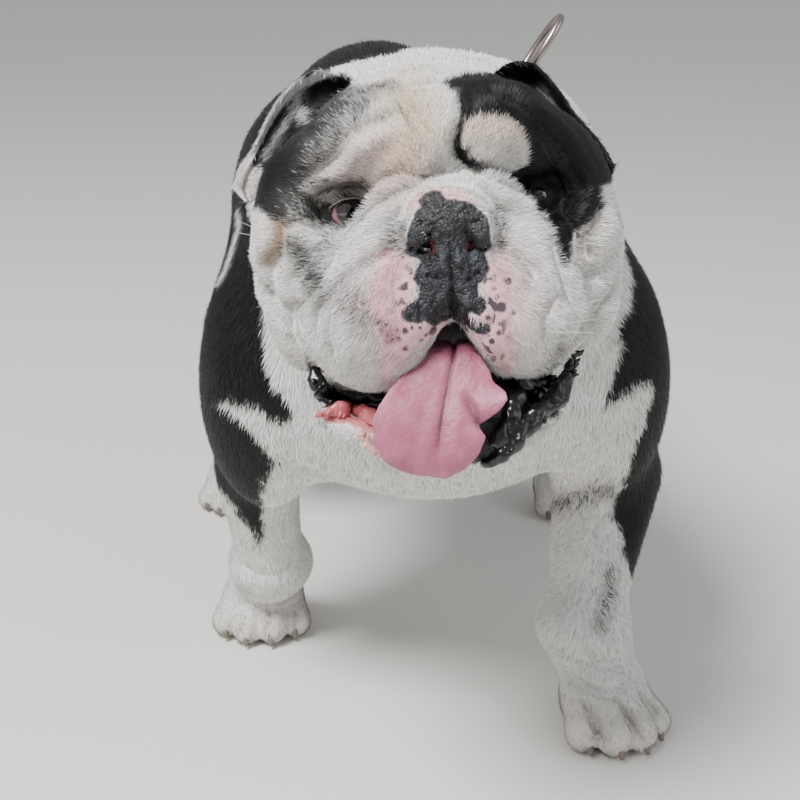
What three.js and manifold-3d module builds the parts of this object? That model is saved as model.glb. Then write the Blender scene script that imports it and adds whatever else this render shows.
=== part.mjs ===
// An English bulldog, adult male, standing with its left forefoot ahead, mouth open and tongue out.
// Life size in millimetres: +Z up, nose towards -Y, the dog's own left side at +X, feet on z = 0.
// Most parts are skins cast on one field of rounded masses, so that neighbours share their outline.
import * as THREE from 'three';
import { mergeVertices } from 'three/addons/utils/BufferGeometryUtils.js';
import Module from 'manifold-3d';

const wasm = await Module();
wasm.setup();

// Driving dimensions.
const GAP = 0.3;              // clearance between parts that touch
const BACK = 413;             // height of the withers
const BRISKET = 160;          // height of the chest over the ground between the forelegs
const RIBS_HALF = 124;        // half the width of the rib cage
const SHOULDER_HALF = 156;    // half the width over the upper arms
const RUMP_HALF = 90;         // half the width over the hips
const BODY_X = 8;             // the chest is this far to the dog's left of the forefeet's middle
const HIP_X = -12;            // the hips swing this far to the dog's right
const EYE_HALF = 48;          // half the distance between the eyes
const EYE_R = 11;             // radius of an eyeball
const CHEEK_HALF = 98;        // half the width of the head over the cheeks
const FLEW_HALF = 71;         // half the width of the muzzle over the hanging lips
const FLEW_DROP = 90;         // how far the lips hang below the eyes
const CHIN_DROP = 130;        // how far the chin is below the eyes
const SKULL_RISE = 77;        // how far the crown is above the eyes
const JAW_X = -8;             // the open jaw hangs this far to the dog's right
const EAR_THICK = 4;
const TONGUE_THICK = 9;
const FOREPAW_HALF = 37;      // half the width of a forepaw
const HINDPAW_HALF = 31;
const CLAW_R = 3.4;
const TAIL_R = 15;
const COLLAR_WIDTH = 16;
const COLLAR_THICK = 3.5;
const RING_WIRE_R = 2.3;      // wire of the ring on the collar
const RING_HALF_LENGTH = 22;
const RING_HALF_WIDTH = 12;

const BOTH = [-1, 1];         // the dog's right, then its left
const bothSides = (make) => BOTH.flatMap(make);
const eyeAt = (s) => [s * EYE_HALF - 1, 8, -2 * s - 1];

// The head's frame: origin between the eyes, local -Y out of the face, turned up by 12 degrees.
const headPlace = new THREE.Matrix4().compose(
  new THREE.Vector3(-6, -185, 380),
  new THREE.Quaternion().setFromEuler(new THREE.Euler(
    THREE.MathUtils.degToRad(-12), THREE.MathUtils.degToRad(-5.3), THREE.MathUtils.degToRad(-2), 'ZXY')),
  new THREE.Vector3(1, 1, 1));
const intoHead = headPlace.clone().invert();
const vec = (p) => new THREE.Vector3(...p);
const onHead = (p) => vec(p).applyMatrix4(headPlace).toArray();

// A field is a function of a point: negative inside the flesh, in millimetres.
function ball(centre, radii) {
  const c = vec(centre);
  const r = vec(radii);
  const q = new THREE.Vector3();
  return (p) => {
    q.copy(p).sub(c);
    const near = Math.hypot(q.x / r.x, q.y / r.y, q.z / r.z);
    const slope = Math.hypot(q.x / r.x ** 2, q.y / r.y ** 2, q.z / r.z ** 2);
    return slope > 1e-9 ? near * (near - 1) / slope : -Math.min(r.x, r.y, r.z);
  };
}

// A round limb from a to b whose radius changes evenly.
function limb(a, b, ra, rb) {
  const from = vec(a);
  const along = vec(b).sub(from);
  const lengthSq = along.lengthSq();
  const q = new THREE.Vector3();
  return (p) => {
    q.copy(p).sub(from);
    const t = Math.min(1, Math.max(0, q.dot(along) / lengthSq));
    return q.addScaledVector(along, -t).length() - (ra + (rb - ra) * t);
  };
}

// A rope of flesh through the points, thinner at both ends.
function roll(points, radius, steps = 14) {
  const at = new THREE.CatmullRomCurve3(points.map(vec)).getPoints(steps);
  const thick = (i) => radius * (0.55 + 0.45 * Math.sin(Math.PI * i / steps));
  const pieces = at.slice(1).map((b, i) => limb(at[i].toArray(), b.toArray(), thick(i), thick(i + 1)));
  const around = new THREE.Sphere().setFromPoints(at);
  return (p) => {
    const clear = around.distanceToPoint(p) - radius;
    return clear > 3 * radius ? clear : Math.min(...pieces.map((piece) => piece(p)));
  };
}

const softMin = (a, b, k) => {
  const h = Math.max(k - Math.abs(a - b), 0) / k;
  return Math.min(a, b) - h * h * k / 4;
};
// Joins fields with a fillet of about k.
const join = (k, ...fields) => (p) => fields.reduce((d, f) => softMin(d, f(p), k), 1e6);
const carve = (k, flesh, tool) => (p) => -softMin(-flesh(p), tool(p), k);
const inHead = (field) => {
  const q = new THREE.Vector3();
  return (p) => field(q.copy(p).applyMatrix4(intoHead));
};

// The distance from origin along the unit vector v to where the field reaches the level.
const probe = new THREE.Vector3();
function castOut(field, origin, v, reach, level) {
  const stride = 3;
  const isInside = (r) => field(probe.copy(origin).addScaledVector(v, r)) < level;
  let out = stride;
  while (out < reach && isInside(out)) out += stride;
  let inner = out - stride;
  for (let n = 0; n < 12; n++) {
    const middle = (inner + out) / 2;
    if (isInside(middle)) inner = middle;
    else out = middle;
  }
  return inner;
}

// Each vertex of an icosphere looks out from the spine and stops where the field ends.
function skin(field, { spine, detail, reach, grow = 0, tube = 0.72, face = [0, 0, 0] }) {
  const globe = new THREE.IcosahedronGeometry(1, detail);
  globe.deleteAttribute('normal');
  globe.deleteAttribute('uv');
  const made = mergeVertices(globe, 1e-4);
  const points = spine.map(vec);
  const curve = points.length > 1 ? new THREE.CatmullRomCurve3(points) : null;
  const axis = curve ? points.at(-1).clone().sub(points[0]).normalize() : null;
  const towards = vec(face);
  const position = made.attributes.position;
  const v = new THREE.Vector3();
  const origin = points[0].clone();
  for (let i = 0; i < position.count; i++) {
    v.fromBufferAttribute(position, i).add(towards).normalize();
    if (curve) {
      const along = v.dot(axis);
      curve.getPoint((Math.min(1, Math.max(-1, along / tube)) + 1) / 2, origin);
      const tilt = Math.sign(along) * Math.max(0, Math.abs(along) - tube) / (1 - tube) * Math.PI / 2;
      v.addScaledVector(axis, -along).normalize().multiplyScalar(Math.cos(tilt));
      v.addScaledVector(axis, Math.sin(tilt)).normalize();
    }
    v.multiplyScalar(castOut(field, origin, v, reach + grow, grow)).add(origin);
    position.setXYZ(i, v.x, v.y, v.z);
  }
  return solid(made);
}

// Solids: closed bodies that can be joined and cut.
function solid(geometry, place = null) {
  const g = geometry.clone();
  if (place) g.applyMatrix4(place);
  g.deleteAttribute('normal');
  g.deleteAttribute('uv');
  const merged = mergeVertices(g, 1e-4);
  return new wasm.Manifold(new wasm.Mesh({
    numProp: 3,
    vertProperties: new Float32Array(merged.attributes.position.array),
    triVerts: new Uint32Array(merged.index.array),
  }));
}
const largest = (made) => made.decompose().sort((a, b) => b.volume() - a.volume())[0];
// Keeps what lies on the side that the plane's normal points to, less half the gap.
function keep(made, { point, normal }, side = 1) {
  const n = vec(normal).normalize().multiplyScalar(side);
  return made.trimByPlane(n.toArray(), n.dot(vec(point)) + GAP / 2);
}
const within = (made, plane) => keep(made, plane, -1);

// A closed body from rings of points, each ring the same number of points, capped at both ends.
function loft(rings) {
  const count = rings[0].length;
  const points = rings.flat();
  const faces = [];
  for (let i = 0; i < rings.length - 1; i++) {
    for (let j = 0; j < count; j++) {
      const a = i * count + j;
      const b = i * count + (j + 1) % count;
      faces.push(a, b, b + count, a, b + count, a + count);
    }
  }
  const ends = [[0, 1], [rings.length - 1, -1]];
  for (const [ring, way] of ends) {
    const middle = rings[ring].reduce((sum, p) => sum.add(p), new THREE.Vector3()).divideScalar(count);
    points.push(middle);
    for (let j = 0; j < count; j++) {
      const edge = [ring * count + (j + 1) % count, ring * count + j];
      if (way < 0) edge.reverse();
      faces.push(...edge, points.length - 1);
    }
  }
  const geometry = new THREE.BufferGeometry().setFromPoints(points);
  geometry.setIndex(faces);
  const made = solid(geometry);
  if (made.volume() > 0) return made;
  geometry.setIndex(faces.slice().reverse());
  return solid(geometry);
}

// A leg's skin: level rings round its bones, each point cast out to where the field ends.
function legSkin(field, { bones, top, bottom, rings, around = 14, reach = 130, grow = 0 }) {
  const heightAt = (i) => THREE.MathUtils.lerp(top, bottom, i / (rings - 1));
  const origin = new THREE.Vector3();
  const v = new THREE.Vector3();
  return loft(Array.from({ length: rings }, (_, i) => {
    const z = heightAt(i);
    const next = Math.max(1, bones.findIndex((b) => b[2] <= z));
    const [a, b] = [bones[next - 1], bones[next]];
    const t = THREE.MathUtils.clamp((a[2] - z) / (a[2] - b[2]), 0, 1);
    origin.set(THREE.MathUtils.lerp(a[0], b[0], t), THREE.MathUtils.lerp(a[1], b[1], t), z);
    return Array.from({ length: around }, (_2, j) => {
      const turn = 2 * Math.PI * j / around;
      v.set(Math.cos(turn), Math.sin(turn), 0);
      return v.multiplyScalar(castOut(field, origin, v, reach + grow, grow)).add(origin).clone();
    });
  }));
}

// The head, in its own frame.
const brow = (s) => [
  ball([s * 30 - 2, 6, 32], [34, 22, 27]),
  roll([[s * 8, -12, 30], [s * 26, -13, 38], [s * 48, -6, 30], [s * 66, 8, 10]], 10),
  ball([s * 58 - 4, 24, 10], [30, 34, 32]),
];
const cheek = (s) => [
  ball([s * (CHEEK_HALF - 25) - 3, 40, -20], [25, 46, 42]),
  ball([s * 60 - 3, 14, -26], [27, 27, 30]),
  ball([s * (CHEEK_HALF - 30) - 3, 26, -56], [22, 36, 26]),
];
const flew = (s) => ball([s * (FLEW_HALF - 35) - 4, -15, 38 - FLEW_DROP], [35, 30, 38]);
const muzzleRoll = (s) => roll(
  [[0, -23, 8], [s * 21, -23, 9], [s * 36 - 1, -18, -5], [s * 47 - 2, -13, -26], [s * 56 - 4, -6, -60]], 10);
const skull = ball([-5, 62, SKULL_RISE - 66], [80, 78, 66]);
const occiput = ball([-5, 74, SKULL_RISE - 69], [75, 62, 62]);
const face = join(7,
  join(15, skull, ...bothSides(brow), ...bothSides(cheek)),
  join(12, ball([-2, -14, -28], [46, 28, 36]), ...bothSides(flew)),
  ...bothSides(muzzleRoll));
// The gap between the hanging lips, where the tongue comes out, widens downwards.
const mouthGap = join(4, ...[-54, -36, -18, 0].flatMap((y) => [
  limb([-1, y, -54], [-4, y, -82], 5, 14),
  limb([-4, y, -82], [-7, y, -114], 14, 34),
]));
const headMass = carve(6, face, mouthGap);

// The lower jaw with its hanging lip, wider than the muzzle on the dog's right.
const lipLine = [[-72, 10, -74], [-72, 0, -92], [-64, -8, -103], [-44, -17, -113], [-8, -25, -121],
  [24, -15, -119], [42, -4, -111], [51, 2, -100], [55, 10, -88]];
const jawMass = join(9,
  ball([JAW_X, 4, 22 - CHIN_DROP], [46, 32, 22]),
  ball([JAW_X, 42, -88], [62, 56, 34]));

// The body.
const trunk = join(45,
  ball([5, 75, BRISKET + 128], [RIBS_HALF, 165, 128]),
  ball([4, -26, BRISKET + 92], [118, 66, 92]),
  ball([3, 40, BACK - 60], [84, 95, 58]),
  ...bothSides((s) => ball([s * 61 - 5, 30, 348], [48, 78, 61])),
  ball([HIP_X / 2, 205, 285], [108, 130, 98]),
  ball([HIP_X - 8, 250, 331], [80, 118, 90]),
  ball([HIP_X, 322, 305], [RUMP_HALF, 88, 98]));
const upperArm = (s) => ball([BODY_X + s * (SHOULDER_HALF - 46), 20, 222], [46, 72, 84]);
const thigh = (s) => ball([HIP_X + s * (RUMP_HALF - 4), 335, 232], [46, 78, 90]);
const neckMass = limb([-3, -92, 350], [4, 40, 320], 80, 109);
const rumpToNeck = join(36, trunk, neckMass, ...bothSides(upperArm), ...bothSides(thigh));

// The joints of each leg.
const foreleg = {
  '-1': { elbow: [-113, 54, 152], elbowR: 31, wrist: [-106, 90, 64], paw: [-113, 114], splay: -4 },
  1: { elbow: [128, 30, 150], elbowR: 39, wrist: [104, -28, 66], paw: [117, -54], splay: 16 },
};
const hindleg = {
  '-1': { stifle: [-122, 290, 186], hock: [-134, 418, 96], pastern: [-142, 390, 46], paw: [-145, 358],
    splay: -10 },
  1: { stifle: [124, 272, 186], hock: [140, 388, 96], pastern: [147, 360, 46], paw: [150, 328],
    splay: 10 },
};
const forelegMass = (s) => {
  const { elbow, elbowR, wrist, paw } = foreleg[s];
  return join(14,
    limb(elbow, wrist, elbowR, 25),
    ball(wrist, [28, 27, 20]),
    limb(wrist, [paw[0], paw[1] + 8, 28], 26, 26));
};
const hindlegMass = (s) => {
  const { stifle, hock, pastern, paw } = hindleg[s];
  return join(16, limb(stifle, hock, 42, 21), limb(hock, pastern, 21, 21),
    limb(pastern, [paw[0], paw[1] + 6, 26], 21, 22));
};
const bodyMass = join(18, rumpToNeck, ...bothSides(forelegMass), ...bothSides(hindlegMass));
const whole = join(18, rumpToNeck, inHead(headMass), inHead(jawMass));

// A paw: pad and four arched toes, each with a claw that stands out in front.
const TOE_ASIDE = [-25, -9, 9, 25];
const TOE_AHEAD = [18, 30, 30, 18];
function pawForm([x, y], half, splay) {
  const scale = half / 37;
  const place = new THREE.Matrix4().makeRotationZ(THREE.MathUtils.degToRad(splay)).setPosition(x, y, 0);
  const at = (right, back, up) => new THREE.Vector3(right * scale, back * scale, up).applyMatrix4(place);
  const toe = (a, ahead) => limb(
    at(a * 0.6, 6, 26).toArray(), at(a, -ahead, 12.5 * scale).toArray(), 14 * scale, 13 * scale);
  const toes = TOE_ASIDE.map((a, i) => toe(a, TOE_AHEAD[i]));
  const claws = TOE_ASIDE.map((a, i) => ({
    root: at(a, -TOE_AHEAD[i] - 4, 12),
    tip: at(a * 1.04, -TOE_AHEAD[i] - 15, 4),
  }));
  const instep = ball([x, y + 6, 20], [31 * scale, 31 * scale, 26]);
  return { field: join(5, join(3, ...toes), instep), claws };
}
const UP = new THREE.Vector3(0, 1, 0);
function clawSolid({ root, tip }) {
  const along = tip.clone().sub(root);
  const place = new THREE.Matrix4().compose(root.clone().add(tip).multiplyScalar(0.5),
    new THREE.Quaternion().setFromUnitVectors(UP, along.clone().normalize()), new THREE.Vector3(1, 1, 1));
  return solid(new THREE.CylinderGeometry(CLAW_R * 0.35, CLAW_R, along.length(), 6), place);
}

// The planes that part the body: each normal points to the outer part.
const headCut = { point: [0, -66, 445], normal: [0, -0.973, 0.229] };
const neckCut = { point: [0, 30, BACK], normal: [0, -0.9, 0.436] };
const wristCut = { point: [0, 0, 52], normal: [0, 0, -1] };
const pasternCut = { point: [0, 0, 48], normal: [0, 0, -1] };
const ground = { point: [0, 0, -GAP / 2], normal: [0, 0, 1] };

// The line that each leg's rings are centred on, from inside the trunk to the ground.
const frontBones = (s) => [[BODY_X + s * 114, 18, 340], [BODY_X + s * 114, 26, 200],
  foreleg[s].elbow, foreleg[s].wrist, [...foreleg[s].paw, 0]];
const hindBones = (s) => [[HIP_X + s * 92, 335, 340], [HIP_X + s * 100, 330, 235], [s * 122, 322, 160],
  hindleg[s].hock, hindleg[s].pastern, [...hindleg[s].paw, 0]];

// Where the limbs part from the trunk: a rounded region over the joint and a wide sleeve below it.
function limbRegion(over, centre, sleeve, bones, grow) {
  const region = skin(over, { spine: [centre], detail: 2, reach: 160, grow });
  return region.add(legSkin(join(20, over, ...sleeve),
    { bones, top: 250, bottom: 38, rings: 6, around: 10, reach: 160, grow }));
}
const shoulderRegion = (s, grow) => limbRegion(
  ball([BODY_X + s * 146, 18, 225], [88, 86, 102]), [BODY_X + s * 140, 18, 230],
  [limb(foreleg[s].elbow, foreleg[s].wrist, 64, 50)], frontBones(s), grow);
const hipRegion = (s, grow) => limbRegion(
  ball([HIP_X + s * 112, 338, 232], [68, 92, 96]), [HIP_X + s * 116, 335, 225],
  [limb(hindleg[s].stifle, hindleg[s].hock, 62, 44), limb(hindleg[s].hock, hindleg[s].pastern, 44, 44)],
  hindBones(s), grow);

const nodes = [];
const finish = (color, roughness = 0.85, metalness = 0) => (
  new THREE.MeshStandardMaterial({ color, roughness, metalness }));
const whiteCoat = finish('#e9e4dc');
const blackCoat = finish('#26262a');
const noseLeather = finish('#2b2a2c', 0.45);
const eyeball = finish('#2a201d', 0.15);
const tongueFlesh = finish('#c97f92', 0.4);
const collarLeather = finish('#2f2823', 0.6);
const ringMetal = finish('#8f6f57', 0.35, 0.9);
function addNode(name, made, material) {
  const mesh = largest(made).getMesh();
  const geometry = new THREE.BufferGeometry();
  geometry.setAttribute('position', new THREE.BufferAttribute(mesh.vertProperties, 3));
  geometry.setIndex(new THREE.BufferAttribute(mesh.triVerts, 1));
  const node = new THREE.Mesh(geometry, material);
  node.name = name;
  nodes.push(node);
}

function addTorsoAndTail() {
  const torsoSkin = (grow) => skin(rumpToNeck,
    { spine: [[0, -10, 285], [0, 150, 290], [HIP_X, 310, 300]], detail: 6, reach: 235, grow });
  const torso = BOTH.reduce(
    (made, s) => made.subtract(shoulderRegion(s, GAP)).subtract(hipRegion(s, GAP)),
    within(torsoSkin(0), neckCut));
  addNode('torso', torso, whiteCoat);
  const bones = [[HIP_X, 392, 336], [HIP_X, 418, 328], [HIP_X + 1, 433, 306], [HIP_X, 436, 284]];
  const thick = (i) => TAIL_R - 3 * i;
  const tail = join(6, ...bones.slice(1).map((b, i) => limb(bones[i], b, thick(i), thick(i + 1))));
  addNode('tail', skin(tail, { spine: bones, detail: 2, reach: 40 }).subtract(torsoSkin(GAP)), blackCoat);
}

const neckSkin = (grow) => skin(whole,
  { spine: [[-4, -80, 345], [0, 0, 312]], detail: 6, reach: 230, tube: 0.5, grow });
const addNeck = () => addNode('neck', keep(within(neckSkin(0), headCut), neckCut), whiteCoat);

// A closed rope in the head's frame, thinner at both ends.
function ropeSolid(points, steps, around, radiusAt) {
  const curve = new THREE.CatmullRomCurve3(points.map(vec));
  const rings = Array.from({ length: steps + 1 }, (_, i) => {
    const along = curve.getTangent(i / steps);
    const side = new THREE.Vector3().crossVectors(along, vec([0, 0, 1])).normalize();
    const up = new THREE.Vector3().crossVectors(side, along);
    return Array.from({ length: around }, (_2, j) => {
      const a = 2 * Math.PI * j / around;
      return curve.getPoint(i / steps).addScaledVector(side, radiusAt(i / steps) * Math.cos(a))
        .addScaledVector(up, radiusAt(i / steps) * Math.sin(a)).applyMatrix4(headPlace);
    });
  });
  return loft(rings);
}
const lipSolid = () => ropeSolid(lipLine, 16, 7, (t) => 4 + 5 * Math.sin(Math.PI * t) ** 0.5);

// The edge of a lid: an arc over the front of the eyeball.
function lidSolid(s, rise) {
  const points = [-66, -44, -22, 0, 22, 44, 66].map((across) => {
    const a = THREE.MathUtils.degToRad(across);
    const e = THREE.MathUtils.degToRad(rise) * Math.cos(a * 90 / 66);
    const r = EYE_R + 1;
    const [x, y, z] = eyeAt(s);
    return [x + r * Math.sin(a) * Math.cos(e), y - r * Math.cos(a) * Math.cos(e), z + r * Math.sin(e)];
  });
  return ropeSolid(points, 8, 6, (t) => 1.2 + 1.6 * Math.sin(Math.PI * t));
}

const eyeSolid = (s, grow) => solid(new THREE.IcosahedronGeometry(EYE_R + grow, 2),
  new THREE.Matrix4().setPosition(...onHead(eyeAt(s))));
const socketSolid = (s) => solid(new THREE.IcosahedronGeometry(1, 2), headPlace.clone().multiply(
  new THREE.Matrix4().makeScale(13, 12, 9).setPosition(eyeAt(s)[0], -4, eyeAt(s)[2])));
const noseField = inHead(join(4,
  ball([0, -32, -8], [21, 16, 16]),
  ...bothSides((s) => ball([s * 14, -36, -14], [10, 10, 10])),
  ball([0, -37, -24], [9, 9, 17])));
const noseSkin = (grow) => skin(noseField, { spine: [onHead([0, -30, -12])], detail: 3, reach: 40, grow });
const nostril = (s) => solid(new THREE.IcosahedronGeometry(1, 1), headPlace.clone().multiply(
  new THREE.Matrix4().makeScale(5, 7, 3.2).setPosition(s * 12.5, -47, -19)));

// The tongue: a wide strap with a groove, out between the lips and down over the chin.
const tongueLine = [[0, 24, -74], [0, -4, -70], [-1, -22, -73], [-6, -33, -88], [-11, -40, -104],
  [-14, -42, -120], [-13, -38, -131]];
const tongueHalf = [14, 17, 19, 28, 35, 28, 11];
function tongueSolid(grow) {
  const curve = new THREE.CatmullRomCurve3(tongueLine.map(vec));
  const steps = 10;
  const rings = Array.from({ length: steps + 1 }, (_, i) => {
    const t = i / steps;
    const seat = t * (tongueHalf.length - 1);
    const low = Math.min(Math.floor(seat), tongueHalf.length - 2);
    const half = THREE.MathUtils.lerp(tongueHalf[low], tongueHalf[low + 1], seat - low) + grow;
    const along = curve.getTangent(t);
    const aside = vec([1, 0, -0.05]).normalize();
    const out = new THREE.Vector3().crossVectors(along, aside).normalize();
    return Array.from({ length: 14 }, (_2, j) => {
      const a = 2 * Math.PI * j / 14;
      const across = Math.cos(a);
      const groove = Math.sin(a) > 0 ? -1.6 * Math.exp(-((across / 0.16) ** 2)) : 0;
      const lift = (TONGUE_THICK / 2 + grow) * Math.sin(a) + groove + 5 * across ** 2 - 2;
      return curve.getPoint(t).addScaledVector(aside, half * across).addScaledVector(out, lift)
        .applyMatrix4(headPlace);
    });
  });
  return loft(rings);
}

// A rose ear: a thin flap between two rims, cupped backwards, the tip hanging beside the cheek.
const earRims = {
  '-1': {
    outer: [[-36, 58, 66], [-54, 60, 76], [-66, 60, 73], [-76, 60, 66], [-84, 60, 56], [-90, 58, 46],
      [-96, 56, 37], [-102, 52, 30], [-106, 48, 19], [-101, 46, 11]],
    inner: [[-34, 50, 56], [-46, 54, 53], [-58, 56, 50], [-68, 56, 47], [-76, 56, 43], [-83, 54, 36],
      [-88, 50, 28], [-91, 48, 21], [-92, 48, 16], [-97, 46, 11]],
  },
  1: {
    outer: [[34, 58, 64], [46, 62, 71], [57, 62, 70], [64, 62, 64], [71, 62, 54], [77, 60, 43],
      [83, 58, 34], [90, 56, 24], [95, 52, 11], [92, 50, 3]],
    inner: [[32, 48, 54], [42, 52, 52], [50, 56, 50], [57, 58, 48], [64, 58, 43], [70, 58, 35],
      [76, 56, 26], [80, 54, 17], [83, 52, 8], [88, 50, 4]],
  },
};
function earSolid(s) {
  const outer = new THREE.CatmullRomCurve3(earRims[s].outer.map(vec));
  const inner = new THREE.CatmullRomCurve3(earRims[s].inner.map(vec));
  const steps = 13;
  const across = 7;
  const rings = Array.from({ length: steps + 1 }, (_, i) => {
    const t = i / steps;
    const cup = THREE.MathUtils.lerp(16, 3, Math.min(1, t * 1.3));
    const line = (side) => Array.from({ length: across }, (_2, j) => {
      const v = j / (across - 1);
      const p = outer.getPoint(t).lerp(inner.getPoint(t), v);
      const half = EAR_THICK / 2 * (0.35 + 0.65 * Math.sin(Math.PI * v));
      p.y += cup * 4 * v * (1 - v) + side * half;
      return p.applyMatrix4(headPlace);
    });
    return [...line(-1), ...line(1).reverse()];
  });
  return loft(rings);
}

function addHead() {
  const headSkin = (grow) => skin(inHead(headMass),
    { spine: [onHead([0, 30, -8])], detail: 9, reach: 170, grow, face: [0, -0.38, -0.04] });
  const napeSkin = (grow) => skin(join(24, inHead(occiput), neckMass),
    { spine: [[-5, -80, 350]], detail: 4, reach: 110, grow });
  const headGrown = headSkin(GAP).add(napeSkin(GAP));
  let head = headSkin(0).add(napeSkin(0));
  for (const s of BOTH) head = head.subtract(socketSolid(s)).add(lidSolid(s, 40)).add(lidSolid(s, -34));
  head = keep(head, headCut).subtract(noseSkin(GAP)).subtract(tongueSolid(GAP));
  for (const s of BOTH) head = head.subtract(eyeSolid(s, GAP));
  addNode('head', head, whiteCoat);
  addNode('nose', noseSkin(0).subtract(nostril(-1)).subtract(nostril(1)), noseLeather);
  const jaw = skin(join(18, inHead(jawMass), neckMass),
    { spine: [onHead([JAW_X, 20, -94])], detail: 4, reach: 110, face: [0, -0.2, 0] });
  const lipped = keep(jaw, headCut).add(lipSolid());
  addNode('lower_jaw', lipped.subtract(headGrown).subtract(tongueSolid(GAP)), whiteCoat);
  addNode('tongue', tongueSolid(0), tongueFlesh);
  for (const s of BOTH) {
    const side = s < 0 ? 'right' : 'left';
    addNode(`eye_${side}`, eyeSolid(s, 0), eyeball);
    addNode(`ear_${side}`, earSolid(s).subtract(headGrown), blackCoat);
  }
}

function addLegs(s) {
  const side = s < 0 ? 'right' : 'left';
  const frontLeg = legSkin(bodyMass, { bones: frontBones(s), top: 332, bottom: 44, rings: 15 });
  addNode(`front_leg_${side}`,
    within(within(frontLeg.intersect(shoulderRegion(s, 0)), wristCut), neckCut), blackCoat);
  const hindLeg = legSkin(bodyMass, { bones: hindBones(s), top: 332, bottom: 40, rings: 17 });
  addNode(`hind_leg_${side}`, within(hindLeg.intersect(hipRegion(s, 0)), pasternCut), blackCoat);
  const paws = [
    ['front', foreleg[s], FOREPAW_HALF, forelegMass(s), wristCut],
    ['hind', hindleg[s], HINDPAW_HALF, hindlegMass(s), pasternCut],
  ];
  for (const [which, bones, half, above, cut] of paws) {
    const form = pawForm(bones.paw, half, bones.splay);
    const foot = skin(join(9, form.field, above),
      { spine: [[bones.paw[0], bones.paw[1] + 4, 23]], detail: 4, reach: 75 });
    const clawed = form.claws.reduce((made, claw) => made.add(clawSolid(claw)), foot);
    addNode(`${which}_paw_${side}`, keep(keep(clawed, cut), ground), whiteCoat);
  }
}

// The collar follows the neck right behind the ears; the ring stands up from it on the dog's left.
const collarBand = (grow) => {
  const back = { point: [0, -47 + grow, 445], normal: headCut.normal };
  const front = { point: [0, -47 - COLLAR_WIDTH - grow, 445], normal: headCut.normal };
  return keep(within(neckSkin(GAP + COLLAR_THICK + grow), front), back);
};
const RING_FOOT = [42, -60, 417];
const RING_LEAN = [0.55, 0, 0.84];
function ringSolid() {
  const up = vec(RING_LEAN).normalize();
  const back = new THREE.Vector3(0, 1, 0);
  const middle = vec(RING_FOOT).addScaledVector(up, RING_HALF_LENGTH + 8);
  const points = Array.from({ length: 24 }, (_, i) => {
    const a = 2 * Math.PI * i / 24;
    return middle.clone().addScaledVector(up, RING_HALF_LENGTH * Math.sin(a))
      .addScaledVector(back, RING_HALF_WIDTH * Math.cos(a));
  });
  const wireLine = new THREE.CatmullRomCurve3(points, true);
  const ring = solid(new THREE.TubeGeometry(wireLine, 24, RING_WIRE_R, 6, true));
  const keeper = skin(limb(vec(RING_FOOT).addScaledVector(up, -12).toArray(),
    vec(RING_FOOT).addScaledVector(up, 7).toArray(), 6, 4.5), { spine: [RING_FOOT], detail: 2, reach: 30 });
  return ring.add(keeper);
}

addTorsoAndTail();
addNeck();
addHead();
BOTH.forEach(addLegs);
addNode('collar', collarBand(0).subtract(neckSkin(GAP)), collarLeather);
addNode('collar_ring', ringSolid().subtract(collarBand(GAP)).subtract(neckSkin(GAP)), ringMetal);

// The origin is the middle of the outer box, on the ground.
const bulldog = new THREE.Group();
bulldog.add(...nodes);
const box = new THREE.Box3().setFromObject(bulldog);
const centre = box.getCenter(new THREE.Vector3());
nodes.forEach((node) => node.geometry.translate(-centre.x, -centre.y, -box.min.z));
export default bulldog;
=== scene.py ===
"""An english bulldog as a still, life-size museum model: skin, coat, eyes, mouth, claws, collar and ring."""
import math
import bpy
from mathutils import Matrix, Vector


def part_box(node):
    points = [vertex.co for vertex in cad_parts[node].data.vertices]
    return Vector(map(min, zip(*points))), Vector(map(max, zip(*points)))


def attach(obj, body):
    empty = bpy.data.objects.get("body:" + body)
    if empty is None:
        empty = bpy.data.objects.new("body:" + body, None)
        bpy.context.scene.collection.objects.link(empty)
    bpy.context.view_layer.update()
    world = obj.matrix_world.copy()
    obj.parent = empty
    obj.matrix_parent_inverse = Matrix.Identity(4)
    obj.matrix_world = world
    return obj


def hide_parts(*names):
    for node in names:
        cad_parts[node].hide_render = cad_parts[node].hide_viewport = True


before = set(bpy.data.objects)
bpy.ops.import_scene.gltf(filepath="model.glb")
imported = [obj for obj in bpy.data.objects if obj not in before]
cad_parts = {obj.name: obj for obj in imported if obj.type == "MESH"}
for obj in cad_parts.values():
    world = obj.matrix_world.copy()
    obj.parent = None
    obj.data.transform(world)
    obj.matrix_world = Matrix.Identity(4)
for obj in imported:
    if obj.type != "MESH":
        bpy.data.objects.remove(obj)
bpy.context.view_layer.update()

from types import SimpleNamespace

import bmesh
import bpy
import numpy as np
from mathutils import Matrix, Vector

MM = 0.001
LIP_INK_HEX, SALMON_HEX, CHIN_HEX = "#0d0c0e", "#ad5a5e", "#c99a98"
rng = np.random.default_rng(7)

# Places are in millimetres in the dog's own frame: origin between the forefeet, +x its left, +y its tail.
HEAD_AT = np.array([-6.0, -185.0, 380.0])
HEAD_TURNS = {"z": -2.0, "x": -12.0, "y": -5.3}
EYE_HALF, EYE_R = 48.0, 11.0
BOTH = (-1, 1)
BACK, BRISKET, RIBS_HALF, SHOULDER_HALF, RUMP_HALF = 413.0, 160.0, 124.0, 156.0, 90.0
BODY_X, HIP_X, CHEEK_HALF, FLEW_HALF, FLEW_DROP = 8.0, -12.0, 98.0, 71.0, 90.0
CHIN_DROP, SKULL_RISE, JAW_X = 130.0, 77.0, -8.0
COAT_DEPTH, FACE_COAT, FOOT_COAT = 2.6, 1.2, 1.4
FLOOR_CLEAR, HAIR_OFF_FLOOR, BARE_SOLE = 0.2, 0.3, 3.5


def turn(axis, degrees):
    return np.array(Matrix.Rotation(math.radians(degrees), 3, axis.upper()))


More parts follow.
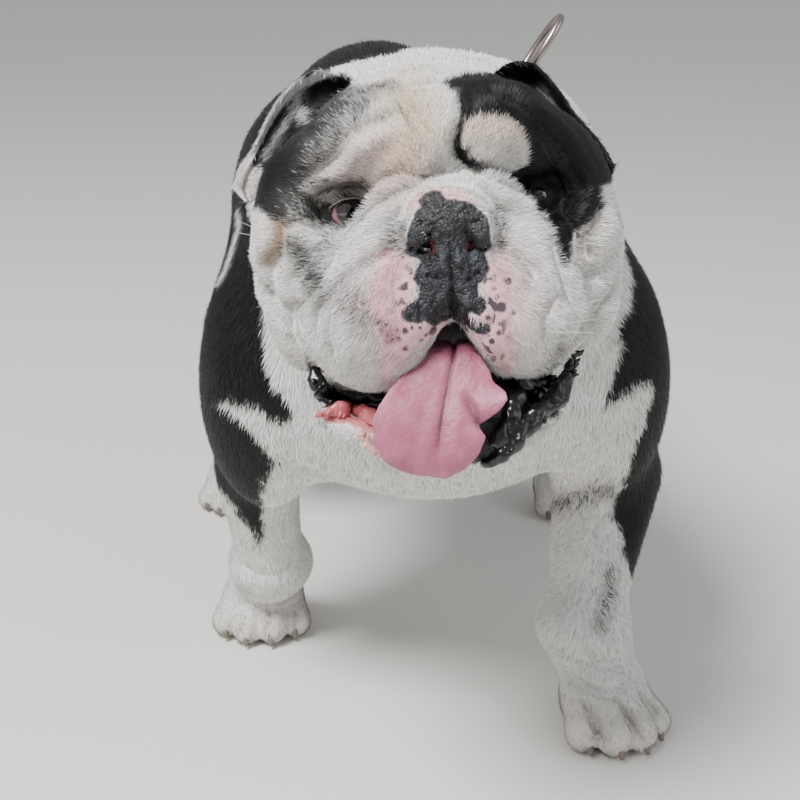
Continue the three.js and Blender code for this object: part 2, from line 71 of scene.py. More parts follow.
HEAD_AXES = turn("z", HEAD_TURNS["z"]) @ turn("x", HEAD_TURNS["x"]) @ turn("y", HEAD_TURNS["y"])


def on_head(p):
    return HEAD_AT + np.asarray(p, float) @ HEAD_AXES.T


def into_head(p):
    return (np.asarray(p, float) - HEAD_AT) @ HEAD_AXES


def eye_at(s):
    return np.array([s * EYE_HALF - 1, 8.0, -2.0 * s - 1])


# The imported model's frame is the dog's frame moved level; the left eyeball says by how much.
EYE_LOW, EYE_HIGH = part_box("eye_left")
FRAME_SHIFT = np.array((EYE_LOW + EYE_HIGH) / 2) / MM - on_head(eye_at(1))


def to_frame(p):
    return (np.asarray(p, float) + FRAME_SHIFT) * MM


# The photo's camera, in the dog's frame. It gives the view and the places of markings and folds.
CAMERA_AT = np.array([-71.0, -922.0, 521.0])
CAMERA_PITCH, CAMERA_YAW = math.radians(18.3), math.radians(3.4)
LENS_MM, SENSOR_MM, PHOTO_PX = 67.5, 36.0, 800.0
FOCAL_PX = LENS_MM / SENSOR_MM * PHOTO_PX
AHEAD = np.array([math.sin(CAMERA_YAW) * math.cos(CAMERA_PITCH),
                  math.cos(CAMERA_YAW) * math.cos(CAMERA_PITCH), -math.sin(CAMERA_PITCH)])
ASIDE = np.array([math.cos(CAMERA_YAW), -math.sin(CAMERA_YAW), 0.0])
ABOVE = np.cross(ASIDE, AHEAD)


def photo_px(p):
    q = np.asarray(p, float) - CAMERA_AT
    deep = q @ AHEAD
    return np.stack([PHOTO_PX / 2 + FOCAL_PX * (q @ ASIDE) / deep,
                     PHOTO_PX / 2 - FOCAL_PX * (q @ ABOVE) / deep], -1)


def photo_rays(px):
    px = np.asarray(px, float)
    ray = (AHEAD + np.outer(px[:, 0] - PHOTO_PX / 2, ASIDE) / FOCAL_PX
           - np.outer(px[:, 1] - PHOTO_PX / 2, ABOVE) / FOCAL_PX)
    return ray / np.linalg.norm(ray, axis=1)[:, None]


def camera():
    data = bpy.data.cameras.new("camera")
    data.lens, data.sensor_width = LENS_MM, SENSOR_MM
    data.clip_start, data.clip_end = 0.01, 20
    made = bpy.data.objects.new("camera", data)
    bpy.context.collection.objects.link(made)
    axes = Matrix(np.column_stack([ASIDE, ABOVE, -AHEAD]).tolist()).to_4x4()
    made.matrix_world = Matrix.Translation(to_frame(CAMERA_AT)) @ axes
    bpy.context.scene.camera = made


# Fields: functions of many points, negative inside the flesh, in millimetres.
def ball(centre, radii):
    c, r = np.array(centre, float), np.array(radii, float)

    def field(p):
        q = (p - c) / r
        near = np.sqrt((q * q).sum(1))
        q /= r
        return near * (near - 1) / np.maximum(np.sqrt((q * q).sum(1)), 1e-9)
    return field


def limb(a, b, ra, rb):
    a, b = np.array(a, float), np.array(b, float)
    along = b - a

    def field(p):
        q = p - a
        t = np.clip(q @ along / (along @ along), 0, 1)
        q -= t[:, None] * along
        return np.sqrt((q * q).sum(1)) - (ra + (rb - ra) * t)
    return field


def spline(points, steps):
    """Points at even steps on a smooth curve through the given ones."""
    p = np.asarray(points, float)
    p = np.vstack([2 * p[0] - p[1], p, 2 * p[-1] - p[-2]])
    t = np.linspace(0, len(p) - 3, steps)
    i = np.minimum(t.astype(int), len(p) - 4)
    t = (t - i)[:, None]
    a, b, c, d = p[i], p[i + 1], p[i + 2], p[i + 3]
    return b + t * (c - a + t * (2 * a - 5 * b + 4 * c - d + t * (3 * (b - c) + d - a))) / 2


def roll(points, radius, steps=14, thin=0.55):
    at = spline(points, steps + 1)
    thick = radius * (thin + (1 - thin) * np.sin(np.pi * np.arange(steps + 1) / steps))
    parts = [limb(at[i], at[i + 1], thick[i], thick[i + 1]) for i in range(steps)]
    low, high = at.min(0) - 3 * radius, at.max(0) + 3 * radius

    def field(p):
        far = np.full(len(p), 4.0 * radius)
        near = ((p > low) & (p < high)).all(1)
        if near.any():
            far[near] = np.min([part(p[near]) for part in parts], axis=0)
        return far
    return field


def soft_min(a, b, k):
    h = np.maximum(k - np.abs(a - b), 0) / k
    return np.minimum(a, b) - h * h * k / 4


def join(k, *fields):
    def field(p):
        d = fields[0](p)
        for f in fields[1:]:
            d = soft_min(d, f(p), k)
        return d
    return field


def carve(k, flesh, tool):
    return lambda p: -soft_min(-flesh(p), tool(p), k)


def both_sides(make):
    return [field for s in BOTH for field in make(s)]


# The head's masses, in the head's frame: brow, cheeks, hanging flews, the fold over the nose.
def brow(s):
    return [ball([s * 30 - 2, 6, 32], [34, 22, 27]),
            roll([[s * 8, -12, 30], [s * 26, -13, 38], [s * 48, -6, 30], [s * 66, 8, 10]], 10),
            ball([s * 58 - 4, 24, 10], [30, 34, 32])]


def cheek(s):
    return [ball([s * (CHEEK_HALF - 25) - 3, 40, -20], [25, 46, 42]),
            ball([s * 60 - 3, 14, -26], [27, 27, 30]),
            ball([s * (CHEEK_HALF - 30) - 3, 26, -56], [22, 36, 26])]


def nose_fold(s):
    return [roll([[0, -23, 5], [s * 21, -23, 3.5], [s * 36 - 1, -18, -8], [s * 47 - 2, -13, -27],
                  [s * 56 - 4, -6, -60]], 10)]


def mouth_gap():
    """The open mouth, as wide throats side by side from the lips back."""
    return join(4, *[throat for y in (-54, -36, -18, 0, 18) for throat in (
        limb([-1, y, -54], [-4, y, -82], 5, 14), limb([-4, y, -82], [-7, y, -114], 14, 34))])


def flew(s):
    return [ball([s * (FLEW_HALF - 35) - 4, -15, 38 - FLEW_DROP], [35, 30, 38])]


def nostril(s):
    return [limb([s * 9 - 1, -56, -16], [s * 10 - 1, -36, -15], 0.8, 0.6),
            limb([s * 9.5 - 1, -56, -20], [s * 11 - 1, -35, -19], 2.0, 1.8),
            limb([s * 10 - 1, -56, -23], [s * 12 - 1, -38, -22], 1.3, 1.1)]


def head_masses():
    skull = ball([-5, 62, SKULL_RISE - 66], [80, 78, 66])
    face = join(7, join(15, skull, *both_sides(brow), *both_sides(cheek)),
                join(12, ball([-2, -14, -28], [46, 28, 36]), *both_sides(flew)),
                *both_sides(nose_fold))
    nose = join(4, ball([0, -32, -8], [21, 16, 16]),
                *both_sides(lambda s: [ball([s * 14, -36, -14], [10, 10, 10])]),
                ball([0, -37, -24], [9, 9, 17]))
    face = carve(5, face, mouth_gap())
    face = carve(4, face, join(1, ball([-53, 47, 58], [20, 13, 13]), ball([57, 50, 54], [12, 10, 11])))
    face = carve(6, face, join(1, *both_sides(lambda s: [eye_dish(s)])))
    face = join(4, face, *both_sides(lambda s: [lids(s)]))
    face = carve(1.2, face, join(1, *both_sides(lambda s: [eye_gap(s)])))
    return carve(1.5, join(2.5, face, nose), join(1, *both_sides(nostril)))


# The opening between the lids, as an outline in the photo's pixels.
EYE_OPENING = {-1: [(331, 214), (335, 208), (341, 203), (348, 200), (356, 199), (364, 201), (360, 208),
                    (353, 216), (345, 224), (339, 226), (334, 221)],
               1: [(531, 188), (536, 184), (541, 186), (545, 191), (547, 199), (541, 197), (535, 192)]}
PX_MM = 0.44


def eye_dish(s):
    x, _, z = eye_at(s)
    return ball([x, -7, z + 1], [17, 9, 11])


def lids(s):
    return ball(eye_at(s) + [0, 0.4, 0], [EYE_R + 2.5] * 3)


def eye_gap(s):
    """The opening between the lids, cut in along the camera's rays."""
    def field(q):
        near = np.linalg.norm(q - eye_at(s), axis=1) < 30
        edge = where(near, lambda p: outside(photo_px(on_head(p)), EYE_OPENING[s]) * PX_MM + FACE_COAT, q)
        return np.maximum(edge, q[:, 1] - 8)
    return field


JAW_LIP_LINE = [[-72, 10, -74], [-72, 0, -92], [-64, -8, -103], [-44, -17, -113], [-8, -25, -121],
                [24, -15, -119], [42, -4, -111], [51, 2, -100], [55, 10, -88]]
jaw_mass = join(9, ball([JAW_X, 4, 22 - CHIN_DROP], [46, 32, 22]), ball([JAW_X, 42, -88], [62, 56, 34]),
                roll(JAW_LIP_LINE, 8, steps=16, thin=0.4))
head_mass = head_masses()

# The body's masses, in the dog's frame.
FORELEG = {-1: dict(elbow=[-113, 54, 152], elbow_r=31, wrist=[-106, 90, 64], paw=[-113, 114], splay=-4),
           1: dict(elbow=[128, 30, 150], elbow_r=39, wrist=[104, -28, 66], paw=[117, -54], splay=16)}
HINDLEG = {-1: dict(stifle=[-122, 290, 186], hock=[-134, 418, 96], pastern=[-142, 390, 46],
                    paw=[-145, 358], splay=-10),
           1: dict(stifle=[124, 272, 186], hock=[140, 388, 96], pastern=[147, 360, 46],
                   paw=[150, 328], splay=10)}
FOREPAW_HALF, HINDPAW_HALF, FULL_PAW = 37.0, 31.0, 37.0
TOES_ASIDE, TOES_AHEAD = (-25, -9, 9, 25), (18, 30, 30, 18)

trunk = join(45, ball([5, 75, BRISKET + 128], [RIBS_HALF, 165, 128]),
             ball([4, -26, BRISKET + 92], [118, 66, 92]),
             ball([3, 40, BACK - 60], [84, 95, 58]),
             *both_sides(lambda s: [ball([s * 61 - 5, 30, 348], [48, 78, 61])]),
             ball([HIP_X / 2, 205, 285], [108, 130, 98]), ball([HIP_X - 8, 250, 331], [80, 118, 90]),
             ball([HIP_X, 322, 305], [RUMP_HALF, 88, 98]))
neck_mass = limb([-3, -92, 350], [4, 40, 320], 80, 109)
rump_to_neck = join(
    36, trunk, neck_mass,
    *both_sides(lambda s: [ball([BODY_X + s * (SHOULDER_HALF - 46), 20, 222], [46, 72, 84])]),
    *both_sides(lambda s: [ball([HIP_X + s * (RUMP_HALF - 4), 335, 232], [46, 78, 90])]))


def foreleg_mass(s):
    leg = FORELEG[s]
    x, y = leg["paw"]
    return join(14, limb(leg["elbow"], leg["wrist"], leg["elbow_r"], 25), ball(leg["wrist"], [28, 27, 20]),
                limb(leg["wrist"], [x, y + 8, 28], 26, 26))


def hindleg_mass(s):
    leg = HINDLEG[s]
    x, y = leg["paw"]
    return join(16, limb(leg["stifle"], leg["hock"], 42, 21), limb(leg["hock"], leg["pastern"], 21, 21),
                limb(leg["pastern"], [x, y + 6, 26], 21, 22))


def paw_place(leg, half):
    """A function from a paw's own places (aside, behind, up) to the dog's frame."""
    scale = half / FULL_PAW
    axes = turn("z", leg["splay"])
    return lambda a, b, z: axes @ np.array([a * scale, b * scale, z]) + np.array([*leg["paw"], 0.0])


def paw_mass(leg, half):
    at, scale = paw_place(leg, half), half / FULL_PAW
    toes = [limb(at(a * 0.6, 6, 26), at(a, -ahead, 12.5 * scale), 14 * scale, 13 * scale)
            for a, ahead in zip(TOES_ASIDE, TOES_AHEAD)]
    x, y = leg["paw"]
    return join(4, join(2, *toes), ball([x, y + 6, 20], [31 * scale, 31 * scale, 26]))


TAIL_BONES = [[HIP_X, 392, 336], [HIP_X, 418, 328], [HIP_X + 1, 433, 306], [HIP_X, 436, 284]]
tail_mass = join(6, *[limb(TAIL_BONES[i], TAIL_BONES[i + 1], 15 - 3 * i, 12 - 3 * i) for i in range(3)])
legs_mass = join(1, *both_sides(lambda s: [foreleg_mass(s), hindleg_mass(s)]))
paws_mass = join(1, *both_sides(
    lambda s: [paw_mass(FORELEG[s], FOREPAW_HALF), paw_mass(HINDLEG[s], HINDPAW_HALF)]))


def smooth_step(low, high, x):
    t = np.clip((x - low) / (high - low), 0, 1)
    return t * t * (3 - 2 * t)


def where(mask, field, p, far=200.0):
    """A field that is only worked out for some of the points."""
    d = np.full(len(p), far)
    if mask.any():
        d[mask] = field(p[mask])
    return d


def head_field(p):
    local = into_head(p)
    return soft_min(head_mass(local), jaw_mass(local), 3)


def flesh(p):
    body = rump_to_neck(p)
    body = soft_min(body, where(p[:, 2] < 250, legs_mass, p), 18)
    body = soft_min(body, where(p[:, 2] < 90, paws_mass, p), 9)
    body = soft_min(body, where(p[:, 1] > 360, tail_mass, p), 8)
    return soft_min(body, where((p[:, 1] < -25) & (p[:, 2] > 205), head_field, p), 16)


def coat_depth(p):
    """How deep the skin lies under the coat's outline: least on the face and feet."""
    depth = COAT_DEPTH + (FACE_COAT - COAT_DEPTH) * smooth_step(-110, -190, p[:, 1])
    return depth + (FOOT_COAT - depth) * smooth_step(90, 60, p[:, 2])


def skin_field(p):
    """The skin under the coat, with its soles on the floor."""
    inside = flesh(p) + coat_depth(p)
    return np.maximum(inside, FLOOR_CLEAR - p[:, 2])


# Meshes: (points, triangles) in the dog's frame.
def net(field, low, high, step):
    """An even closed mesh on the zero level of a field: one point in each cell that the level passes."""
    low = np.array(low, float)
    counts = np.ceil((np.array(high) - low) / step).astype(int) + 1
    ticks = [low[i] + step * np.arange(counts[i]) for i in range(3)]
    grid = np.stack(np.meshgrid(*ticks, indexing="ij"), -1)
    level = field(grid.reshape(-1, 3)).reshape(counts)
    flat = np.arange(level.size).reshape(counts)
    strides = np.array([counts[1] * counts[2], counts[2], 1])
    total, hits, quads = np.zeros((level.size, 3)), np.zeros(level.size), []
    for a, b, c in ((0, 1, 2), (1, 2, 0), (2, 0, 1)):
        here = np.take(level, range(counts[a] - 1), axis=a)
        there = np.take(level, range(1, counts[a]), axis=a)
        crossed = (here < 0) != (there < 0)
        start = np.take(flat, range(counts[a] - 1), axis=a)[crossed]
        share = here[crossed] / (here[crossed] - there[crossed])
        at = grid.reshape(-1, 3)[start]
        at[:, a] += share * step
        beside = start - strides[b]
        corners = np.stack([beside - strides[c], start - strides[c], start, beside], 1)
        for k in range(4):
            for axis in range(3):
                total[:, axis] += np.bincount(corners[:, k], at[:, axis], level.size)
            hits += np.bincount(corners[:, k], minlength=level.size)
        outwards = here[crossed] < 0
        corners[~outwards] = corners[~outwards][:, ::-1]
        quads.append(corners)
    quads = np.concatenate(quads)
    used, quads = np.unique(quads, return_inverse=True)
    points = total[used] / hits[used][:, None]
    quads = quads.reshape(-1, 4)
    diagonal = [np.linalg.norm(points[quads[:, i]] - points[quads[:, i + 2]], axis=1) for i in (0, 1)]
    turned = np.where((diagonal[0] > diagonal[1])[:, None], np.roll(quads, -1, axis=1), quads)
    return points, np.concatenate([turned[:, [0, 1, 2]], turned[:, [0, 2, 3]]])


def edges_of(tris, count):
    """The mesh's edges once each, and for each triangle the numbers of its three."""
    ends = np.sort(np.stack([tris, np.roll(tris, -1, axis=1)], -1).reshape(-1, 2), axis=1)
    keys, number = np.unique(ends[:, 0] * count + ends[:, 1], return_inverse=True)
    return np.stack([keys // count, keys % count], 1), number.reshape(-1, 3)


def split_long(points, tris, longest):
    """Halves each edge that is longer than it may be at its middle."""
    edges, number = edges_of(tris, len(points))
    middle = points[edges].mean(1)
    long = np.linalg.norm(points[edges[:, 0]] - points[edges[:, 1]], axis=1) > longest(middle)
    new = np.where(long, len(points) + np.cumsum(long) - 1, -1)[number]
    cuts = (new >= 0).sum(1)
    made = [tris[cuts == 0]]
    for k in range(3):
        a, b, c = (tris[:, (k + i) % 3] for i in range(3))
        ab, bc, ca = (new[:, (k + i) % 3] for i in range(3))
        one = (cuts == 1) & (ab >= 0)
        made += [np.stack(t, 1)[one] for t in ((a, ab, c), (ab, b, c))]
        two = (cuts == 2) & (ab < 0)
        made += [np.stack(t, 1)[two] for t in ((c, ca, bc), (a, b, bc), (a, bc, ca))]
    a, b, c = tris.T
    ab, bc, ca = new.T
    made += [np.stack(t, 1)[cuts == 3] for t in ((a, ab, ca), (ab, b, bc), (ca, bc, c), (ab, bc, ca))]
    return np.vstack([points, middle[long]]), np.concatenate(made)


def relax(points, tris, share=0.5):
    """Moves each point towards the middle of its neighbours."""
    edges, _ = edges_of(tris, len(points))
    ends, others = np.concatenate([edges, edges[:, ::-1]]).T
    ties = np.maximum(np.bincount(ends, minlength=len(points)), 1)
    mean = np.stack([np.bincount(ends, points[others, i], len(points)) for i in range(3)], 1) / ties[:, None]
    return points + share * (mean - points)


def slope(field, p, step=0.35):
    here = field(p)
    return here, np.stack([field(p + step * np.eye(3)[i]) - here for i in range(3)], 1) / step


def settle(field, points, rounds=3, most=2.5):
    """Brings points onto the zero level of a field."""
    for _ in range(rounds):
        level, up = slope(field, points)
        move = level / np.maximum((up * up).sum(1), 0.2)
        points = points - np.clip(move, -most, most)[:, None] * up
    return points


def normals_of(points, tris):
    a, b, c = points[tris[:, 0]], points[tris[:, 1]], points[tris[:, 2]]
    face = np.cross(b - a, c - a)
    summed = np.zeros_like(points)
    for k in range(3):
        for axis in range(3):
            summed[:, axis] += np.bincount(tris[:, k], face[:, axis], len(points))
    return summed / np.maximum(np.linalg.norm(summed, axis=1), 1e-12)[:, None]


def joined(parts):
    """Several meshes as one."""
    starts = np.cumsum([0] + [len(p) for p, _ in parts])
    return np.vstack([p for p, _ in parts]), np.vstack([t + s for (_, t), s in zip(parts, starts)])


def loft(rings, closed=False):
    """A mesh through rings of points, capped at both ends, or closed on itself."""
    count, around = len(rings), len(rings[0])
    points = np.vstack(rings)
    i, j = np.meshgrid(np.arange(count if closed else count - 1), np.arange(around), indexing="ij")
    i, j = i.ravel(), j.ravel()
    a, b = i * around + j, i * around + (j + 1) % around
    c, d = (i + 1) % count * around + (j + 1) % around, (i + 1) % count * around + j
    tris = np.vstack([np.stack([a, b, c], 1), np.stack([a, c, d], 1)])
    if not closed:
        middles = np.stack([rings[0].mean(0), rings[-1].mean(0)])
        ring = np.arange(around)
        following = (ring + 1) % around
        last = (count - 1) * around
        tris = np.vstack([tris, np.stack([following, ring, np.full(around, len(points))], 1),
                          np.stack([last + ring, last + following, np.full(around, len(points) + 1)], 1)])
        points = np.vstack([points, middles])
    a, b, c = points[tris[:, 0]], points[tris[:, 1]], points[tris[:, 2]]
    volume = (a * np.cross(b, c)).sum()
    return points, tris if volume > 0 else tris[:, ::-1]


def rope(points, radii, around=10, steps=None, closed=False, flat=1.0, up=(0, 0, 1)):
    """A round or flattened rope along a line."""
    at = spline(points, steps or len(points)) if not closed else np.asarray(points, float)
    along = np.roll(at, -1, 0) - np.roll(at, 1, 0) if closed else np.gradient(at, axis=0)
    along /= np.linalg.norm(along, axis=1)[:, None]
    side = np.cross(along, np.array(up, float))
    side /= np.maximum(np.linalg.norm(side, axis=1), 1e-9)[:, None]
    over = np.cross(side, along)
    radii = np.interp(np.linspace(0, 1, len(at)), np.linspace(0, 1, len(radii)), radii)
    angles = 2 * np.pi * np.arange(around) / around
    wide, high = np.cos(angles), np.sin(angles)
    return loft([at[i] + radii[i] * (np.outer(wide, side[i]) + flat * np.outer(high, over[i]))
                 for i in range(len(at))], closed)


def globe(centre, radius, detail):
    mesh = bpy.data.meshes.new("globe")
    b = bmesh.new()
    bmesh.ops.create_icosphere(b, subdivisions=detail, radius=1)
    b.to_mesh(mesh)
    b.free()
    points = np.empty(len(mesh.vertices) * 3)
    mesh.vertices.foreach_get("co", points)
    tris = np.empty(len(mesh.polygons) * 3, int)
    mesh.polygons.foreach_get("vertices", tris)
    bpy.data.meshes.remove(mesh)
    return points.reshape(-1, 3) * radius + centre, tris.reshape(-1, 3)


# Finishes.
def linear(hex_colour):
    c = np.array([int(hex_colour[i:i + 2], 16) / 255 for i in (1, 3, 5)])
    return np.where(c <= 0.04045, c / 12.92, ((c + 0.055) / 1.055) ** 2.4)


def node(tree, kind, settings=None, **links):
    """Adds a node; a link's value is a number, a colour, or another node's socket."""
    made = tree.nodes.new(kind)
    for name, value in (settings or {}).items():
        setattr(made, name, value)
    for name, value in links.items():
        socket = made.inputs[int(name[1:])] if name[0] == "i" and name[1:].isdigit() else made.inputs[
            name.replace("_", " ")]
        if isinstance(value, bpy.types.NodeSocket):
            tree.links.new(value, socket)
        else:
            socket.default_value = value
    return made


def material(name, **sockets):
    made = bpy.data.materials.new(name)
    made.use_nodes = True
    shader = made.node_tree.nodes["Principled BSDF"]
    for key, value in sockets.items():
        shader.inputs[key.replace("_", " ")].default_value = value
    return made, made.node_tree, shader


def rgba(hex_colour):
    return (*linear(hex_colour), 1.0)


def piece(name, mesh, finish, replaced=()):
    """A shown piece of the model, from a mesh in the dog's frame."""
    points, tris = mesh
    data = bpy.data.meshes.new(name)
    data.vertices.add(len(points))
    data.vertices.foreach_set("co", to_frame(points).astype(np.float32).ravel())
    data.loops.add(tris.size)
    data.loops.foreach_set("vertex_index", tris.astype(np.int32).ravel())
    data.polygons.add(len(tris))
    data.polygons.foreach_set("loop_start", np.arange(0, tris.size, 3, dtype=np.int32))
    data.update(calc_edges=True)
    data.shade_smooth()
    data.materials.append(finish)
    made = bpy.data.objects.new(name, data)
    bpy.context.collection.objects.link(made)
    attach(made, "root")
    if replaced:
        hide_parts(*replaced)
    return made


# Places read in the photo, in its pixels. Right and left are the dog's own.
# Folds: the depth and half width in millimetres, how far the sides swell up, and the line.
FOLDS = {
    "roll_outer_right": (6.0, 3.0, 2.0, [(452, 176), (425, 181), (400, 189), (379, 200), (364, 211),
        (350, 226), (337, 248), (327, 271), (308, 297), (293, 310), (295, 334), (308, 355)]),
    "roll_outer_left": (5.0, 3.0, 1.6, [(452, 175), (466, 171), (482, 175), (499, 182), (516, 188),
        (528, 196), (539, 211), (548, 226), (555, 245), (561, 265), (568, 287), (575, 315)]),
    "roll_inner_right": (5.0, 3.0, 1.6, [(404, 243), (388, 249), (372, 256), (355, 266), (342, 279),
        (332, 295), (319, 315), (316, 347)]),
    "roll_inner_left": (3.6, 3.0, 1.2, [(497, 247), (508, 250), (520, 257), (530, 268), (537, 282)]),
    "flew_fold_right": (3.4, 3.0, 1.6, [(346, 300), (336, 313), (333, 335), (337, 362)]),
    "flew_fold_left": (3.0, 3.0, 1.4, [(562, 290), (552, 305), (545, 325), (548, 345)]),
    "brow_crease_right": (4.6, 2.8, 2.0, [(408, 117), (396, 119), (382, 122), (367, 128), (351, 140),
        (337, 157), (316, 173), (302, 188)]),
    "forehead_right": (3.4, 1.3, 1.2, [(399, 106), (406, 115), (412, 125), (419, 136)]),
    "forehead_valley": (1.6, 3.0, 0.8, [(424, 148), (411, 162), (398, 173), (384, 184)]),
    "roll_top_right": (2.2, 2.2, 0.9, [(448, 168), (434, 173), (421, 181), (409, 192), (398, 206)]),
    "blaze_edge": (7.0, 2.4, 0.6, [(456, 96), (461, 112), (457, 130), (455, 148), (460, 161), (472, 169)]),
    "brow_fold_left": (6.0, 3.0, 2.4, [(483, 84), (510, 102), (538, 126), (560, 152), (576, 180),
        (588, 205)]),
    "brow_fold_left_low": (5.0, 2.8, 2.0, [(496, 110), (520, 126), (540, 150), (556, 176), (566, 205)]),
    "eye_bag_left": (4.0, 2.8, 1.6, [(553, 205), (566, 222), (572, 245), (570, 268)]),
    "cheek_right": (4.0, 3.0, 1.8, [(293, 219), (310, 226), (335, 232)]),
    "cheek_right_side": (5.0, 3.2, 2.0, [(272, 219), (284, 229), (284, 250), (274, 268), (279, 296)]),
    "cheek_left": (6.0, 3.4, 2.4, [(606, 203), (596, 222), (582, 240), (584, 262)]),
    "cheek_left_low": (4.0, 3.0, 1.8, [(575, 268), (592, 276), (604, 270)]),
    "philtrum": (3.0, 1.3, 0.6, [(450, 240), (451, 262), (452, 285), (454, 308), (455, 322)]),
    "wrist_right": (2.6, 4.0, 1.4, [(240, 560), (256, 574), (282, 573), (299, 557)]),
    "wrist_right_low": (2.2, 3.8, 1.2, [(235, 586), (264, 594), (296, 586)]),
    "wrist_left": (3.6, 3.6, 1.6, [(576, 650), (598, 661), (623, 661)]),
    "wrist_left_low": (4.4, 3.6, 2.0, [(560, 662), (585, 684), (611, 691), (633, 680)]),
    "armpit_right": (6.0, 5.0, 1.6, [(284, 462), (305, 468), (329, 474)]),
    "nose_top_rim": (1.2, 1.8, 0.6, [(408, 205), (425, 196), (450, 193), (474, 198), (491, 208)]),
    "nostril_slit_right": (3.4, 1.0, 0.9, [(434, 251), (426, 251), (416, 250), (407, 249)]),
    "nostril_slit_left": (3.4, 1.0, 0.9, [(466, 251), (474, 248), (483, 248), (491, 246)]),
    "wing_groove_right": (2.0, 1.1, 0.5, [(431, 235), (434, 228), (427, 223), (416, 226)]),
    "wing_groove_left": (2.0, 1.1, 0.5, [(466, 236), (464, 228), (470, 222), (481, 224)]),
    "pit_right": (2.0, 1.2, 0.7, [(425, 275), (433, 279), (439, 276)]),
    "pit_left": (2.0, 1.2, 0.7, [(463, 279), (472, 277), (481, 270)]),
    "nape_crease": (3.6, 3.0, 1.6, [(343, 93), (366, 87), (395, 88), (425, 87), (447, 82)]),
    "jowl_right": (5.0, 3.4, 2.2, [(252, 262), (262, 284), (280, 303), (300, 322), (308, 345)]),
    "jowl_left": (5.0, 3.4, 2.0, [(612, 285), (600, 305), (585, 322), (572, 345)]),
    "toes_right_1": (4.6, 2.2, 1.4, [(243, 610), (240, 625), (239, 640)]),
    "toes_right_2": (5.0, 2.2, 1.4, [(268, 606), (268, 622), (268, 642)]),
    "toes_right_3": (4.6, 2.2, 1.4, [(293, 608), (296, 622), (298, 636)]),
    "toes_left_1": (6.0, 2.4, 1.6, [(580, 698), (592, 720), (603, 744)]),
    "toes_left_2": (6.0, 2.4, 1.6, [(610, 694), (628, 716), (642, 742)]),
    "toes_left_3": (4.6, 2.2, 1.4, [(636, 690), (650, 704), (660, 718)]),
}
# Swellings: the middle in pixels, the height and the half width in millimetres.
SWELLINGS = {
    "spot over the left brow": ((496, 147), 5.0, 13), "right nostril wing": ((421, 238), 2.0, 4.5),
    "left nostril wing": ((479, 236), 2.0, 4.5), "nose, middle": ((444, 254), 1.4, 3.5),
    "nose, low left": ((460, 258), 1.4, 3.5), "nose, lowest": ((468, 266), 1.4, 3.5),
    "nose, top": ((450, 211), 1.4, 9), "right of the lip cleft": ((436, 300), 1.4, 6),
    "left of the lip cleft": ((470, 300), 1.2, 5), "right flew": ((350, 345), 2.0, 13),
    "right flew, inner": ((405, 340), 1.6, 12), "right brow": ((365, 147), 2.0, 13),
    "forehead": ((436, 128), 2.0, 14), "beside the forehead's valley": ((411, 157), 5.0, 11),
    "under the valley": ((396, 171), 4.5, 10), "over the nose roll": ((430, 160), 2.4, 11),
    "under the right brow": ((377, 185), 2.0, 8), "left cheek": ((586, 232), 3.0, 11),
    "right cheek": ((300, 240), 2.5, 12), "right cheek, low": ((318, 272), 2.0, 12),
    "right cheek, outer": ((265, 245), 2.5, 12)}


NEAREST_RUN, FARTHEST_RUN, ON_LEVEL = 600.0, 1400.0, 0.5


def photo_hits(px, field, rounds=90):
    """Where the camera's rays through some pixels first meet a field's zero level, or pass nearest to it."""
    way = photo_rays(px)
    run = np.full(len(way), NEAREST_RUN)
    least, best = np.full(len(way), 1e9), run.copy()
    for _ in range(rounds):
        level = field(CAMERA_AT + run[:, None] * way)
        closer = level < least
        least[closer], best[closer] = level[closer], run[closer]
        run = np.minimum(run + 0.8 * level, FARTHEST_RUN)
    return CAMERA_AT + np.where(np.abs(level) < ON_LEVEL, run, best)[:, None] * way


def evenly(px, step=5.0):
    """Points every few pixels on a smooth line through the given ones."""
    fine = spline(px, 200)
    run = np.concatenate([[0], np.cumsum(np.linalg.norm(np.diff(fine, axis=0), axis=1))])
    t = np.linspace(0, run[-1], max(3, int(run[-1] / step) + 1))
    return np.stack([np.interp(t, run, fine[:, i]) for i in (0, 1)], 1)


def line_distance(p, line, most=30.0):
    """The distance to a line in space, and how far along it the nearest place is, from 0 to 1."""
    best, place = np.full(len(p), most), np.zeros(len(p))
    near = ((p > line.min(0) - most) & (p < line.max(0) + most)).all(1)
    if not near.any():
        return best, place
    q = p[near]
    b, at = best[near], place[near]
    for i in range(len(line) - 1):
        along = line[i + 1] - line[i]
        t = np.clip((q - line[i]) @ along / max(along @ along, 1e-9), 0, 1)
        d = np.linalg.norm(q - line[i] - t[:, None] * along, axis=1)
        closer = d < b
        b[closer], at[closer] = d[closer], ((i + t) / (len(line) - 1))[closer]
    best[near], place[near] = b, at
    return best, place


def scramble(*whole):
    """A value between 0 and 1 for each set of whole numbers, always the same one."""
    h = np.zeros_like(whole[0])
    for k, prime in zip(whole, (73856093, 19349663, 83492791, 2654435761)):
        h = h ^ (k * prime)
    h = ((h >> 13) ^ h) * 1274126177
    return ((h >> 8) & 0xFFFF) / 65535.0


def noise(p, size, seed=0):
    """A smooth random value between -1 and 1 that changes over the given size."""
    q = np.asarray(p) / size + 211.7
    i = np.floor(q).astype(np.int64)
    f = q - i
    f = f * f * (3 - 2 * f)
    total = np.zeros(len(q))
    for corner in range(8):
        step = np.array([corner & 1, corner >> 1 & 1, corner >> 2])
        weight = np.where(step, f, 1 - f).prod(1)
        j = i + step
        total += weight * scramble(j[:, 0], j[:, 1], j[:, 2], np.full(len(q), seed + 1))
    return 2 * total - 1


